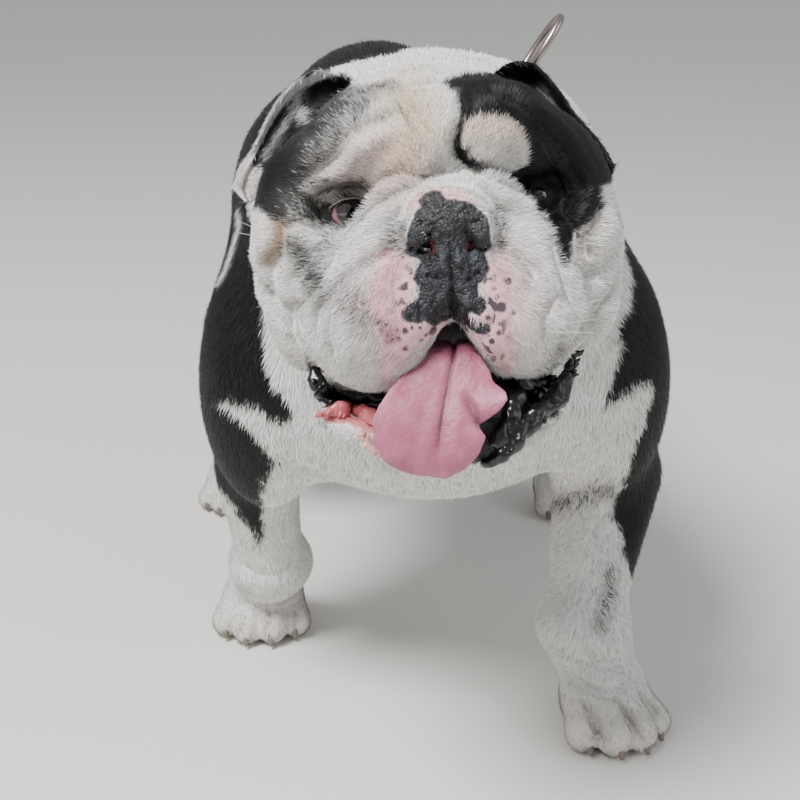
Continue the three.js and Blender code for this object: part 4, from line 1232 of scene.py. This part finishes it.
def black_on_head(at):
    """What the photo shows of the masks, and the head's sides and back beyond that."""
    px, ragged, wander = at.px, at.ragged, at.wander
    x, y, z = at.local.T
    right = inside_px(px, MASK_RIGHT, 6 + 9 * smooth_step(200, 170, px[:, 1]), 2.2 * ragged)
    shown = np.maximum(right, inside_px(px, MASK_LEFT, 2.5, ragged))
    shown *= 1 - inside_px(px, CREAM_SPOT_LEFT, 2.5, ragged)
    shown *= 1 - 0.34 * along_px(px, MASK_GREY, 20) * (0.7 + 0.5 * noise(at.p, 7, 18))
    back = smooth_step(46, 54, y + ragged + 8 * wander) * smooth_step(-78, -58, z + 6 * wander)
    right_side = smooth_step(-22, -14, z + ragged + 5 * wander) + back
    patch = np.hypot((y - 18) / 46, (z - 26) / 42)
    left_side = smooth_step(1.1, 0.98, patch + 0.02 * ragged + 0.12 * wander)
    hidden = np.clip(np.where(x < 0, right_side, left_side), 0, 1)
    hidden = hidden * (1 - smooth_step(50, 38, np.abs(x + 4)) * smooth_step(22, 40, z))
    return np.where(at.front, np.maximum(shown, strongest(px, GRIZZLE)), hidden)


def black_on_body(at):
    """What the photo shows of the shoulders and forelegs; a dark saddle, flanks and thighs behind them."""
    px, ragged, wander = at.px, at.ragged * 1.3, at.wander
    x, y, z = at.p.T
    shown = np.maximum(inside_px(px, SHOULDER_RIGHT, 2.5, ragged), inside_px(px, ARM_RIGHT, 2.5, ragged))
    shown *= 1 - along_px(px, STREAK_RIGHT, 2.6) * (at.facing > 0.14)
    shown = np.maximum(shown, inside_px(px, SHOULDER_LEFT, 2.5, ragged))
    shown = np.maximum(shown, 0.5 * along_px(px, GREY_ELBOW, 10))
    shown = np.maximum(shown, 0.4 * along_px(px, GREY_SHIN, 8))
    middle_x = BODY_X + (HIP_X - BODY_X) * smooth_step(40, 300, y)
    flank = smooth_step(205, 222, z + 0.10 * np.abs(x - middle_x) + 2 * ragged)
    foreleg = smooth_step(155, 120, y) * smooth_step(238, 205, z) * (np.abs(x) > 70)
    outer = smooth_step(98, 112, np.abs(x) + ragged)
    limit = np.where(x > 0, 118, 150)
    on_foreleg = outer * smooth_step(limit - 6, limit + 6, z + 2 * ragged)
    flank = flank + (on_foreleg - flank) * foreleg
    hindleg = smooth_step(225, 265, y) * smooth_step(245, 215, z)
    thigh = smooth_step(58, 76, np.abs(x - HIP_X) + 0.5 * (y - 300) + ragged)
    flank = flank + (smooth_step(100, 114, z + 2 * ragged) * thigh - flank) * hindleg
    neck_edge = 300 + 92 * smooth_step(-10, 50, y) + 12 * wander + ragged
    neck = smooth_step(-5, 5, z - neck_edge)
    collar_side = smooth_step(4, -4, x + 48 - 0.3 * (y + 60) + ragged)
    white_to = -46 + 118 * smooth_step(-52, -12, x) - 0.5 * np.maximum(x - 20, 0) + 16 * wander
    back_of_neck = smooth_step(-5, 5, y - white_to + ragged)
    flank = flank + (np.maximum(collar_side, back_of_neck) - flank) * neck
    brisket = smooth_step(60, 30, y) * smooth_step(95, 80, np.abs(x - BODY_X)) * smooth_step(290, 260, z)
    flank = flank * (1 - brisket)
    chest = at.front & (y < 75) & (z < 392) & ~((y > -45) & (z > 372))
    return np.where(chest, shown, flank)


def light_hair(at):
    """The colour of the light hair: white, with cream, rosy and tan places on the head and cream feet."""
    px, face = at.px, lambda share: share * at.head * at.front
    light = np.repeat(WHITE[None], len(at.p), 0)
    warm, patchy = face(along_px(px, CREAM_FOREHEAD, 26)), 0.5 + 0.5 * noise(at.p, 26, 21)
    light = mix(light, CREAM, 0.8 * warm + 0.10 * patchy)
    light = mix(light, PINK, 0.22 * face(along_px(px, ROSY_BROW, 22)))
    spot = inside_px(px, CREAM_SPOT_LEFT, 3)
    light = mix(light, CREAM, face(0.6 * spot * smooth_step(165, 130, px[:, 1])))
    for share, half, line in TAN_PLACES.values():
        light = mix(light, TAN, face(share * along_px(px, line, half)))
    light = mix(light, PINK, face(strongest(px, FLUSH)))
    return mix(light, CREAM, 0.14 * smooth_step(40, 15, at.p[:, 2]) * ~at.head)


def dark_spots(at):
    """The speckles and round spots on the pink muzzle."""
    speckle = smooth_step(0.30, 0.42, noise(at.p, 2.3, 24)) * inside_px(at.px, MUZZLE_SPECKLED, 9)
    spot = speckle * (at.px[:, 1] > 255)
    for middle, size in SPOTS:
        d = np.linalg.norm(at.px - middle, axis=1) + 0.5 * at.ragged
        spot = np.maximum(spot, smooth_step(size + 0.8, size - 0.8, d))
    return spot * (at.head & at.front & (at.local[:, 1] < 12))


def markings(p, up):
    """How black the coat is, its light colour, how bare and how wet it is, at places on the skin."""
    at = seen(p, up)
    px, head, front, ragged, local = at.px, at.head, at.front, at.ragged, at.local
    x, y, z = local.T
    nape = inside_px(px, NAPE_WHITE, 2.5, ragged) * (p[:, 1] < 40) * (at.facing > -0.25)
    nape *= 1 - head * smooth_step(24, 32, x) * smooth_step(66, 56, y)
    black = np.where(head, black_on_head(at), black_on_body(at)) * (1 - nape)
    light = light_hair(at)

    # Bare skin: nose, pink muzzle, lid rims, lips and the inside of the mouth.
    nose = inside_px(px, NOSE_BLACK, 1.2, 0.6 * ragged) * head * front * (y < 8)
    pink = np.maximum(inside_px(px, PINK_RIGHT, 5, ragged), inside_px(px, PINK_LEFT, 5, ragged))
    pink = np.maximum(pink, inside_px(px, PINK_ABOVE, 3, ragged)) * head * front * (y < 12)
    beneath = mix(light, PINK, 0.8 * pink * (0.85 + 0.15 * noise(p, 5, 25)))
    light = mix(light, PINK, 0.5 * pink)
    spot = dark_spots(at)
    rim = np.maximum.reduce([inside_px(px, EYE_OPENING[s], 1.0, -0.6) for s in BOTH]) * head * (y < 20)
    margin = inside_px(px, EYE_OPENING[-1], 0.8, -2.4) * smooth_step(216, 208, px[:, 1]) * head * (y < 20)
    jaw = (jaw_mass(local) < head_mass(local)) & head
    # The inside of the mouth is painted very dark: the wet flesh's colour, darkened as painted shade in the
    # mouth.
    inner = smooth_step(3.0, 0.6, MOUTH_GAP(local)) * head * (z < -54) * ~jaw
    lip = inside_px(px, LIP_BLACK_LEFT, 2, ragged) * jaw
    lip = np.maximum(inside_px(px, LIP_BLACK_RIGHT, 2, ragged), lip) * (head * front * (z < -58))
    salmon = np.maximum(inside_px(px, LIP_SALMON, 2, ragged), 0.6 * inside_px(px, CHIN_PINK, 3, ragged))
    salmon = salmon * jaw * front
    thin = pink * np.clip(0.46 + 0.5 * noise(p, 3.6, 26) + 0.3 * inside_px(px, MUZZLE_SPECKLED, 5), 0, 0.85)
    bare = np.clip(np.maximum.reduce([nose, thin, 0.8 * spot, rim, margin, inner, lip, salmon]), 0, 1)

    # The tone of the skin itself, from the widest colour to the smallest.
    # A bluish grey sheen painted in patches on the lower nose: painted reflection.
    nose_sheen = smooth_step(0.1, 0.6, noise(p, 4, 22)) * smooth_step(228, 240, px[:, 1])
    nostril = np.maximum.reduce([smooth_step(far, near, np.hypot(px[:, 0] - middle[0], px[:, 1] - middle[1]))
                                 for middle, far, near in NOSTRILS]) * nose * (y > -42.5)
    tone = mix(beneath, BLACK, black)
    for colour, share in ((NOSE_LEATHER, nose), (NOSE_SHEEN_PAINT, 0.5 * nose * nose_sheen), (NOSTRIL, nostril),
                          (SPOT, spot * (1 - nose)), (LID_MARGIN, margin), (LIP_INK, np.maximum(lip, rim)),
                          (SALMON, salmon), (MOUTH_FLESH_IN_SHADE, inner)):
        tone = mix(tone, colour, share)
    crust = nose * smooth_step(236, 224, px[:, 1] + ragged)
    wet = np.maximum.reduce([lip, salmon, inner, 0.5 * nose])
    return dict(black=black, light=light, tone=tone, bare=bare, wet=wet, nose=nose, crust=crust)


def ear_markings(p, up):
    """The ears: the dog's right one black inside with a white rim and tip, the left one black."""
    px = photo_px(p)
    ragged = 1.8 * noise(p, 4, 14) + 1.2 * noise(p, 2, 15)
    view = CAMERA_AT - p
    front = (up * view).sum(1) > 0
    right = p[:, 0] < HEAD_AT[0]
    rim = smooth_step(5.4, 3.6, line_distance_px(px, RIM_RIGHT, 40) + 0.3 * ragged)
    tip = inside_px(px, TIP_RIGHT, 3, ragged)
    white = np.where(right, np.maximum(rim, tip), 0.0)
    tuft = np.maximum(0.75 * along_px(px, EAR_TUFT_RIGHT, 7), 0.4 * along_px(px, EAR_GREY_RIGHT, 5))
    grey = np.where(right, tuft, 0.45 * along_px(px, EAR_GREY_LEFT, 5)) * front
    black = np.clip(1 - np.maximum(white, grey), 0, 1)
    light = mix(np.repeat(WHITE[None], len(p), 0), PINK, 0.15 * tip)
    zero = np.zeros(len(p))
    tone = mix(light, BLACK, black)
    return dict(black=black, light=light, tone=tone, bare=zero, wet=zero, nose=zero, crust=zero)


# The coat: every tuft is a thin closed pyramid of four triangles, its root sunk in the skin.
NOSE_TIP = on_head([0, -40, -12])
# By region: the tufts' length and width in millimetres, and their number for each square millimetre.
COAT = {"neck": (6.4, 0.72, 0.46), "trunk": (8.5, 1.0, 0.17), "leg": (5.6, 0.66, 0.43),
        "head": (5.4, 0.56, 0.8), "face": (4.2, 0.4, 1.54), "foot": (3.8, 0.55, 0.85),
        "ear": (4.2, 0.5, 1.3)}
TUFTS_IN_A_PIECE = 49000


def speckled(points, ground_hex, fleck_hex, size, seed):
    """Two colours mixed over smooth random patches of the given size."""
    ground = np.tile(linear(ground_hex), (len(points), 1))
    return mix(ground, linear(fleck_hex), 0.5 + 0.5 * noise(points, size, seed))


def unit(v):
    return v / np.maximum(np.linalg.norm(v, axis=1), 1e-9)[:, None]


def lie(p, up):
    """The way the coat lies: away from the nose, down the chest and legs, back along the trunk."""
    away = unit(p - NOSE_TIP)
    away[:, 2] += 0.15
    head = (smooth_step(-95, -150, p[:, 1]) * smooth_step(205, 230, p[:, 2]))[:, None]
    down = np.tile([0.0, 0.35, -1.0], (len(p), 1))
    back = np.stack([0 * p[:, 0], np.ones(len(p)), -0.25 - 0.5 * smooth_step(360, 240, p[:, 2])], 1)
    trunk = (smooth_step(0, 90, p[:, 1]) * smooth_step(170, 220, p[:, 2]))[:, None]
    nape = (smooth_step(330, 380, p[:, 2]) * smooth_step(-120, -60, p[:, 1]))[:, None]
    way = down * (1 - trunk) + back * trunk
    way = way * (1 - nape) + np.array([0, 1.0, -0.15]) * nape
    paw = smooth_step(45, 20, p[:, 2])[:, None]
    way = way * (1 - paw) + np.array([0, -0.8, -0.6]) * paw
    way = unit(way) * (1 - head) + away * head
    swirl = np.stack([noise(p, 14, 31), noise(p, 14, 32), noise(p, 14, 33)], 1)
    way += 0.35 * swirl + 0.16 * rng.normal(size=way.shape)
    return unit(way - (way * up).sum(1)[:, None] * up)


def coat_size(p):
    """The tufts' length, width and number for each square millimetre."""
    head = smooth_step(-60, -130, p[:, 1]) * smooth_step(205, 225, p[:, 2])
    local = into_head(p)
    face = head * smooth_step(46, 20, local[:, 1])
    foot = smooth_step(70, 40, p[:, 2])
    leg = smooth_step(200, 160, p[:, 2])
    trunk = smooth_step(30, 90, p[:, 1]) * smooth_step(175, 210, p[:, 2])
    length, width, many = (np.full(len(p), v) for v in COAT["neck"])
    for share, region in ((trunk, "trunk"), (leg, "leg"), (head, "head"), (face, "face"), (foot, "foot")):
        length, width, many = (a + (b - a) * share for a, b in zip((length, width, many), COAT[region]))
    return length, width, many


def roots_on(points, tris, normals, values, chance):
    """Random places on a mesh, with the normals and values there."""
    a, b, c = points[tris[:, 0]], points[tris[:, 1]], points[tris[:, 2]]
    area = np.linalg.norm(np.cross(b - a, c - a), axis=1) / 2
    expected = area * chance[tris].mean(1)
    which = np.repeat(np.arange(len(tris)), np.floor(expected + rng.random(len(tris))).astype(int))
    u, v = rng.random((2, len(which)))
    over = u + v > 1
    u[over], v[over] = 1 - u[over], 1 - v[over]
    weights = np.stack([1 - u - v, u, v], 1)[:, :, None]
    pick = tris[which]
    return ((points[pick] * weights).sum(1), unit((normals[pick] * weights).sum(1)),
            {name: (value[pick] * (weights if value.ndim > 1 else weights[:, :, 0])).sum(1)
             for name, value in values.items()})


def tuft_mesh(root, up, way, length, width, lift):
    """Four points for each tuft: both edges of its root, its keel below them, and its tip."""
    side = np.cross(up, way)
    half = width[:, None] / 2
    sink = 0.25 + 0.1 * length[:, None] * 0.2
    tip = root + length[:, None] * (way * np.cos(lift)[:, None] + up * np.sin(lift)[:, None])
    corners = np.stack([root - side * half - up * 0.1, root + side * half - up * 0.1,
                        root - way * half - up * sink, tip], 1)
    corners[:, :, 2] = np.maximum(corners[:, :, 2], HAIR_OFF_FLOOR)
    first = 4 * np.arange(len(root))[:, None, None]
    tris = (first + np.array([[1, 0, 3], [0, 2, 3], [2, 1, 3], [0, 1, 2]])).reshape(-1, 3)
    lean = (up * np.cos(lift)[:, None] - way * np.sin(lift)[:, None])
    shading = np.stack([lean - 0.8 * side, lean + 0.8 * side, lean, lean + 0.2 * way], 1)
    return corners.reshape(-1, 3), tris, unit(shading.reshape(-1, 3))


def unwrap(root, up, low, high):
    """A place in the unit square for each root: six views of the skin along the axes, side by side."""
    axis = np.abs(up).argmax(1)
    positive = np.take_along_axis(up, axis[:, None], 1)[:, 0] > 0
    cell = axis * 2 + positive
    q = (root - low) / (high - low).max()
    u = np.where(axis == 0, q[:, 1], q[:, 0])
    v = np.where(axis == 2, q[:, 1], q[:, 2])
    return np.stack([(cell % 3 + 0.02 + 0.96 * u) / 3, (cell // 3 + 0.02 + 0.96 * v) / 2], 1)


# The width of a tuft's patch in the unit square that is baked.
PATCH = 0.003
# How much darker a tuft is painted at its root than at its tip, by region and elsewhere: painted shade deep
# in the coat.
ROOT_SHADE, PLAIN_SHADE = {"face": 0.52, "head": 0.56, "ear": 0.56}, 0.72


def coat_piece(name, roots, finish):
    """One piece of the coat, with each tuft's colour and the painted shade at its root, its place to be
    baked and its soft shading.
    """
    root, up, way, length, width, lift, colour = roots
    points, tris, shading = tuft_mesh(root, up, way, length, width, lift)
    made = piece(name, (points, tris), finish)
    data = made.data
    shade = ROOT_SHADE.get(name.split("_")[1], PLAIN_SHADE)
    # The root and keel are painted darker than the tip: painted shade deep in the coat.
    tips = np.tile([shade, shade, 0.8 * shade, 1.05], len(root))[:, None]
    rgb = np.repeat(colour, 4, 0) * tips
    tone = data.attributes.new("tone", "FLOAT_COLOR", "POINT")
    tone.data.foreach_set("color", np.column_stack([rgb, np.ones(len(rgb))]).astype(np.float32).ravel())
    corner = np.array([[-1, 0], [1, 0], [0, -1], [0, 1]]) * PATCH / 2
    uv = unwrap(root, up, root.min(0), root.max(0))[:, None, :] + corner
    layer = data.uv_layers.new(name="OFBake")
    layer.data.foreach_set("uv", uv.reshape(-1, 2)[tris.ravel()].astype(np.float32).ravel())
    data.normals_split_custom_set_from_vertices(shading.astype(np.float32))
    return made


# Materials.
def tone_of(tree):
    return node(tree, "ShaderNodeAttribute", {"attribute_name": "tone"}).outputs["Color"]


def value_of(tree, name):
    return node(tree, "ShaderNodeAttribute", {"attribute_name": name}).outputs["Fac"]


def place_of(tree):
    return node(tree, "ShaderNodeTexCoord").outputs["Object"]


def skin_finish():
    """Skin under the coat, bare and granular on the nose, smooth and moist on the lips."""
    made, tree, shader = material("skin", Roughness=0.7, Specular_IOR_Level=0.4)
    place = place_of(tree)
    wet = value_of(tree, "wet")
    rough = node(tree, "ShaderNodeMapRange", None, Value=wet, To_Min=0.78, To_Max=0.22)
    tree.links.new(rough.outputs[0], shader.inputs["Roughness"])
    grains = node(tree, "ShaderNodeTexVoronoi", None, Vector=place, Scale=1 / (1.5 * MM))
    pores = node(tree, "ShaderNodeTexNoise", None, Vector=place, Scale=1 / (0.9 * MM), Detail=3.0)
    crumbs = node(tree, "ShaderNodeTexNoise", None, Vector=place, Scale=1 / (1.3 * MM), Detail=4.0,
                  Roughness=0.7)
    tops = node(tree, "ShaderNodeMapRange", None, Value=crumbs.outputs[0], From_Min=0.5, From_Max=0.66)
    crusted = node(tree, "ShaderNodeMath", {"operation": "MULTIPLY"}, i0=tops.outputs[0],
                   i1=value_of(tree, "crust"))
    colour = node(tree, "ShaderNodeMix", {"data_type": "RGBA"}, i0=crusted.outputs[0], i6=tone_of(tree),
                  i7=rgba(CRUST_HEX))
    tree.links.new(colour.outputs[2], shader.inputs["Base Color"])
    deep = node(tree, "ShaderNodeMath", {"operation": "MULTIPLY"}, i0=grains.outputs["Distance"],
                i1=value_of(tree, "nose"))
    high = node(tree, "ShaderNodeMath", {"operation": "MULTIPLY_ADD"}, i0=deep.outputs[0], i1=-2.0,
                i2=pores.outputs[0])
    bump = node(tree, "ShaderNodeBump", None, Strength=0.8, Distance=0.9 * MM, Height=high.outputs[0])
    tree.links.new(bump.outputs[0], shader.inputs["Normal"])
    return made


def toned(name, **sockets):
    """A material whose colour is the tone painted on its mesh."""
    made, tree, shader = material(name, **sockets)
    tree.links.new(tone_of(tree), shader.inputs["Base Color"])
    return made, tree, shader


def paint(made, **values):
    """Writes values or colours on a piece's points."""
    for name, value in values.items():
        flat = value.ndim == 1
        layer = made.data.attributes.new(name, "FLOAT" if flat else "FLOAT_COLOR", "POINT")
        full = value if flat else np.column_stack([value, np.ones(len(value))])
        layer.data.foreach_set("value" if flat else "color", full.astype(np.float32).ravel())


SKIN_POINTS, SKIN_TRIS = build_skin()
SKIN_NORMALS = normals_of(SKIN_POINTS, SKIN_TRIS)
marks = markings(SKIN_POINTS, SKIN_NORMALS)
ears = [ear_flap(s) for s in BOTH]
whole = joined([(SKIN_POINTS, SKIN_TRIS)] + ears)
ear_points = np.vstack([e[0] for e in ears])
ear_normals = np.vstack([normals_of(*e) for e in ears])
ear_marks = ear_markings(ear_points, ear_normals)
# The skin is painted a little darker under the coat than where it is bare, and the ears' skin darker still:
# painted shade cast by the hair.
under = 0.82 + 0.18 * marks["bare"]
EAR_SKIN_SHADE = 0.74
skin = piece("skin", whole, skin_finish(), (
    "torso", "tail", "neck", "head", "lower_jaw", "nose", "ear_right", "ear_left", "front_leg_right",
    "front_leg_left", "hind_leg_right", "hind_leg_left", "front_paw_right", "front_paw_left",
    "hind_paw_right", "hind_paw_left"))
both_marks = {name: np.concatenate([marks[name], ear_marks[name]])
              for name in ("tone", "wet", "nose", "crust")}
# Painted shade under the hair, on the body and on the ears.
both_marks["tone"] *= np.concatenate([under, np.full(len(ear_points), EAR_SKIN_SHADE)])[:, None]
paint(skin, **both_marks)

# White hair is dry and chalky; black hair is sleeker, with a faint sheen along the back.
coats = {"white": toned("white_hair", Roughness=0.62, Specular_IOR_Level=0.35)[0],
         "black": toned("black_hair", Roughness=0.48, Specular_IOR_Level=0.3)[0]}


def grow_coat(points, tris, normals, bare, mark, way_of, region_of, size_of):
    """Tufts over a mesh, gathered by region and by colour."""
    length, width, many = size_of(points)
    chance = many * (1 - np.clip(bare * 1.15, 0, 1)) * (points[:, 2] > BARE_SOLE) * COAT_SHARE
    root, up, values = roots_on(points, tris, normals, {"length": length, "width": width}, chance)
    found = mark(root, up)
    way = way_of(root, up)
    n = len(root)
    length = values["length"] * (0.75 + 0.5 * rng.random(n)) * (1 - 0.5 * found["bare"])
    width = values["width"] * (0.8 + 0.4 * rng.random(n))
    lift = np.radians(6 + 12 * rng.random(n) + 12 * (rng.random(n) < 0.03))
    mixed = 4 * found["black"] * (1 - found["black"])
    share = found["black"] + 0.25 * noise(root, 3.2, 41) * mixed
    dark = smooth_step(0.06, 0.94, share) > rng.random(n)
    colour = np.where(dark[:, None], mix(BLACK, found["light"], 0.22 * mixed * rng.random(n)),
                      mix(found["light"], BLACK, mixed * (0.3 + 0.5 * rng.random(n))))
    # Tufts are painted darker at random, a few of them much darker: painted shade in the gaps between hairs,
    # with some random tone. They are painted darker in the folds too: painted shade.
    colour = colour * (1.1 - 0.62 * rng.random(n) ** 2.6 + 0.08 * noise(root, 6, 42))[:, None]
    colour = colour * (1 - 0.5 * crease_shade(root))[:, None]
    made = {}
    region = region_of(root)
    for r in np.unique(region):
        for tone, mask in (("white", ~dark), ("black", dark)):
            pick = (region == r) & mask
            if pick.any():
                made[f"{r}_{tone}"] = [a[pick] for a in (root, up, way, length, width, lift, colour)]
    return made


COAT_SHARE = 1.0


def skin_region(p):
    side = np.where(p[:, 0] < HEAD_AT[0], "right", "left")
    local = into_head(p)
    on_the_head = (p[:, 1] < -75) & (p[:, 2] > 215)
    name = np.where(on_the_head, np.where(local[:, 1] < 26, "face", "head"), np.where(
        p[:, 2] < 75, "feet", np.where(p[:, 2] < 190, "legs", np.where(p[:, 1] < 60, "neck", "trunk"))))
    return np.char.add(np.char.add(name, "_"), side)


def ear_way(p, up):
    side = np.where(p[:, 0] < HEAD_AT[0], 0, 1)
    aim = np.array([on_head(EAR_RIMS[s][0][-2]) for s in BOTH])[side]
    way = unit(aim - p) + 0.25 * rng.normal(size=p.shape)
    return unit(way - (way * up).sum(1)[:, None] * up)


grown = grow_coat(SKIN_POINTS, SKIN_TRIS, SKIN_NORMALS, marks["bare"], markings, lie, skin_region,
                  coat_size)
ear_mesh = joined(ears)
grown.update(grow_coat(ear_mesh[0], ear_mesh[1], ear_normals, ear_marks["bare"], ear_markings, ear_way,
                       lambda p: np.where(p[:, 0] < HEAD_AT[0], "ear_right", "ear_left"),
                       lambda p: tuple(np.full(len(p), v) for v in COAT["ear"])))
for name, roots in sorted(grown.items()):
    tone = name.rsplit("_", 1)[1]
    parts = math.ceil(len(roots[0]) / TUFTS_IN_A_PIECE)
    for k in range(parts):
        share = [a[k::parts] for a in roots]
        coat_piece(f"coat_{name}" + (f"_{k + 1}" if parts > 1 else ""), share, coats[tone])

# Where each eye looks: the middle of its iris in the photo's pixels.
IRIS_AT = {-1: (351, 210), 1: (540, 193)}
IRIS_R, PUPIL_R = 7.4, 2.8
# The haw and white of each eye: pink in the right one, painted near black in the left one as painted shadow.
EYE_PINKS = {-1: ("#bf989d", "#a07076"), 1: ("#1c1414", "#141010")}
IRIS_HEX, IRIS_FLECK_HEX, IRIS_RIM_HEX, PUPIL_HEX = "#37302f", "#1f1a1a", "#0a0808", "#020202"


def eyeball(s):
    """An eyeball with its iris, pupil, dark rim and the pink haw in the inner corner, and their colours."""
    centre = on_head(eye_at(s))
    points, tris = globe(centre, EYE_R - 0.2, 6)
    aim = into_head(np.array([on_eyeball(s, IRIS_AT[s])]))[0] - eye_at(s)
    aim = unit((HEAD_AXES @ aim)[None])[0]
    out = unit(points - centre)
    off = np.arccos(np.clip(out @ aim, -1, 1)) * EYE_R
    points = points + out * (0.9 * smooth_step(IRIS_R + 1, 0, off))[:, None]
    white = speckled(points, *EYE_PINKS[s], 1.5, 71)
    iris = speckled(points, IRIS_HEX, IRIS_FLECK_HEX, 0.9, 72)
    tone = mix(white, iris, smooth_step(IRIS_R + 0.3, IRIS_R - 0.5, off))
    tone = mix(tone, linear(IRIS_RIM_HEX), np.exp(-((off - IRIS_R) / 0.7) ** 2) * 0.8)
    tone = mix(tone, linear(PUPIL_HEX), smooth_step(PUPIL_R + 0.3, PUPIL_R - 0.3, off))
    return (points, tris), tone


def on_eyeball(s, px):
    """The place on an eyeball that the photo shows at a pixel."""
    way = photo_rays([px])[0]
    centre = on_head(eye_at(s))
    near = (centre - CAMERA_AT) @ way
    miss = centre - CAMERA_AT - near * way
    return CAMERA_AT + (near - math.sqrt(max(EYE_R ** 2 - miss @ miss, 1))) * way


# A wet cornea: nearly black glass, with the sharp points of light that make the eyes look alive.
eye_finish = toned("moist_eye", Roughness=0.12, Coat_Weight=1.0, Coat_Roughness=0.02)[0]
for side, s in (("right", -1), ("left", 1)):
    mesh, tone = eyeball(s)
    paint(piece(f"eyeball_{side}", mesh, eye_finish, (f"eye_{side}",)), tone=tone)
# Wet lips: black and salmon flesh with bright broken glints.
lip_finish = toned("wet_lip", Roughness=0.26, Specular_IOR_Level=0.5)[0]
mesh, tone = lips()
paint(piece("lips", mesh, lip_finish, ()), tone=tone)
# The tongue is moist but velvety: its fine buds, drawn at 0.8 mm, break the shine up.
tongue_finish, tongue_tree, tongue_shader = toned("tongue", Roughness=0.42)
buds = node(tongue_tree, "ShaderNodeTexNoise", None, Vector=place_of(tongue_tree), Scale=1 / (0.8 * MM),
            Detail=2.0)
felt = node(tongue_tree, "ShaderNodeBump", None, Strength=0.8, Distance=0.4 * MM, Height=buds.outputs[0])
tongue_tree.links.new(felt.outputs[0], tongue_shader.inputs["Normal"])
mesh, tone = tongue()
paint(piece("tongue_skin", mesh, tongue_finish, ("tongue",)), tone=tone)
# Worn bridle leather, dull and dark, sewn with pale waxed thread.
leather = material("leather", Base_Color=rgba("#2f2823"), Roughness=0.5)[0]
piece("collar_band", collar_band(), leather, ("collar",))
stitches = stitch_tree(material("thread", Base_Color=rgba("#8d8272"), Roughness=0.8)[0])
for row, across in enumerate(STITCH_ROWS):
    sewn_along(f"collar_stitches_{row + 1}", band_line(across, STITCH_LIFT), stitches, {
        "Pitch": STITCH_PITCH * MM, "Length": STITCH_LENGTH * MM, "Thickness": STITCH_THICK * MM})
# Nickel-plated wire, warm grey and polished by wear.
metal = material("ring", Base_Color=rgba("#9a8f8b"), Roughness=0.26, Metallic=1.0)[0]
piece("ring_wire", collar_ring(), metal, ("collar_ring",))
# Blunt horn claws: dark, with a soft waxy shine.
horn = material("claw", Base_Color=rgba("#6f645b"), Roughness=0.4)[0]
piece("claws", claws(), horn, ())
# Stiff single hairs, paler than the coat, and the moist grey edge of the lid.
piece("whisker_hairs", whiskers(), material("whisker", Base_Color=rgba("#dedbd6"), Roughness=0.4)[0])
piece("lid_margin", lid_margin(), material("lid_edge", Base_Color=rgba("#a3968f"), Roughness=0.35)[0])

camera()
bpy.ops.mesh.primitive_plane_add(size=80, location=(0, 0, 0))
floor = bpy.context.object
floor.name = "floor"
floor.data.materials.append(material("floor", Base_Color=rgba("#dcdad5"), Roughness=0.9)[0])
# Pale even daylight all round, and for each lamp its place, its aim, its width in metres and its watts.
SKY, SKY_STRENGTH = (0.9, 0.92, 0.95, 1), 0.65
LAMPS = {"key": ((-1.0, -1.2, 2.4), (0, -0.1, 0.2), 1.0, 125),
         "fill": ((1.8, -1.0, 1.2), (0, 0, 0.2), 1.5, 10)}
world = bpy.data.worlds.new("studio")
bpy.context.scene.world = world
world.use_nodes = True
world.node_tree.nodes["Background"].inputs["Color"].default_value = SKY
world.node_tree.nodes["Background"].inputs["Strength"].default_value = SKY_STRENGTH
for name, (at, aim, size, watts) in LAMPS.items():
    data = bpy.data.lights.new(name, "AREA")
    data.shape, data.size, data.energy = "DISK", size, watts
    lamp = bpy.data.objects.new(name, data)
    bpy.context.collection.objects.link(lamp)
    lamp.location = at
    lamp.rotation_euler = (Vector(aim) - Vector(at)).to_track_quat("-Z", "Y").to_euler()
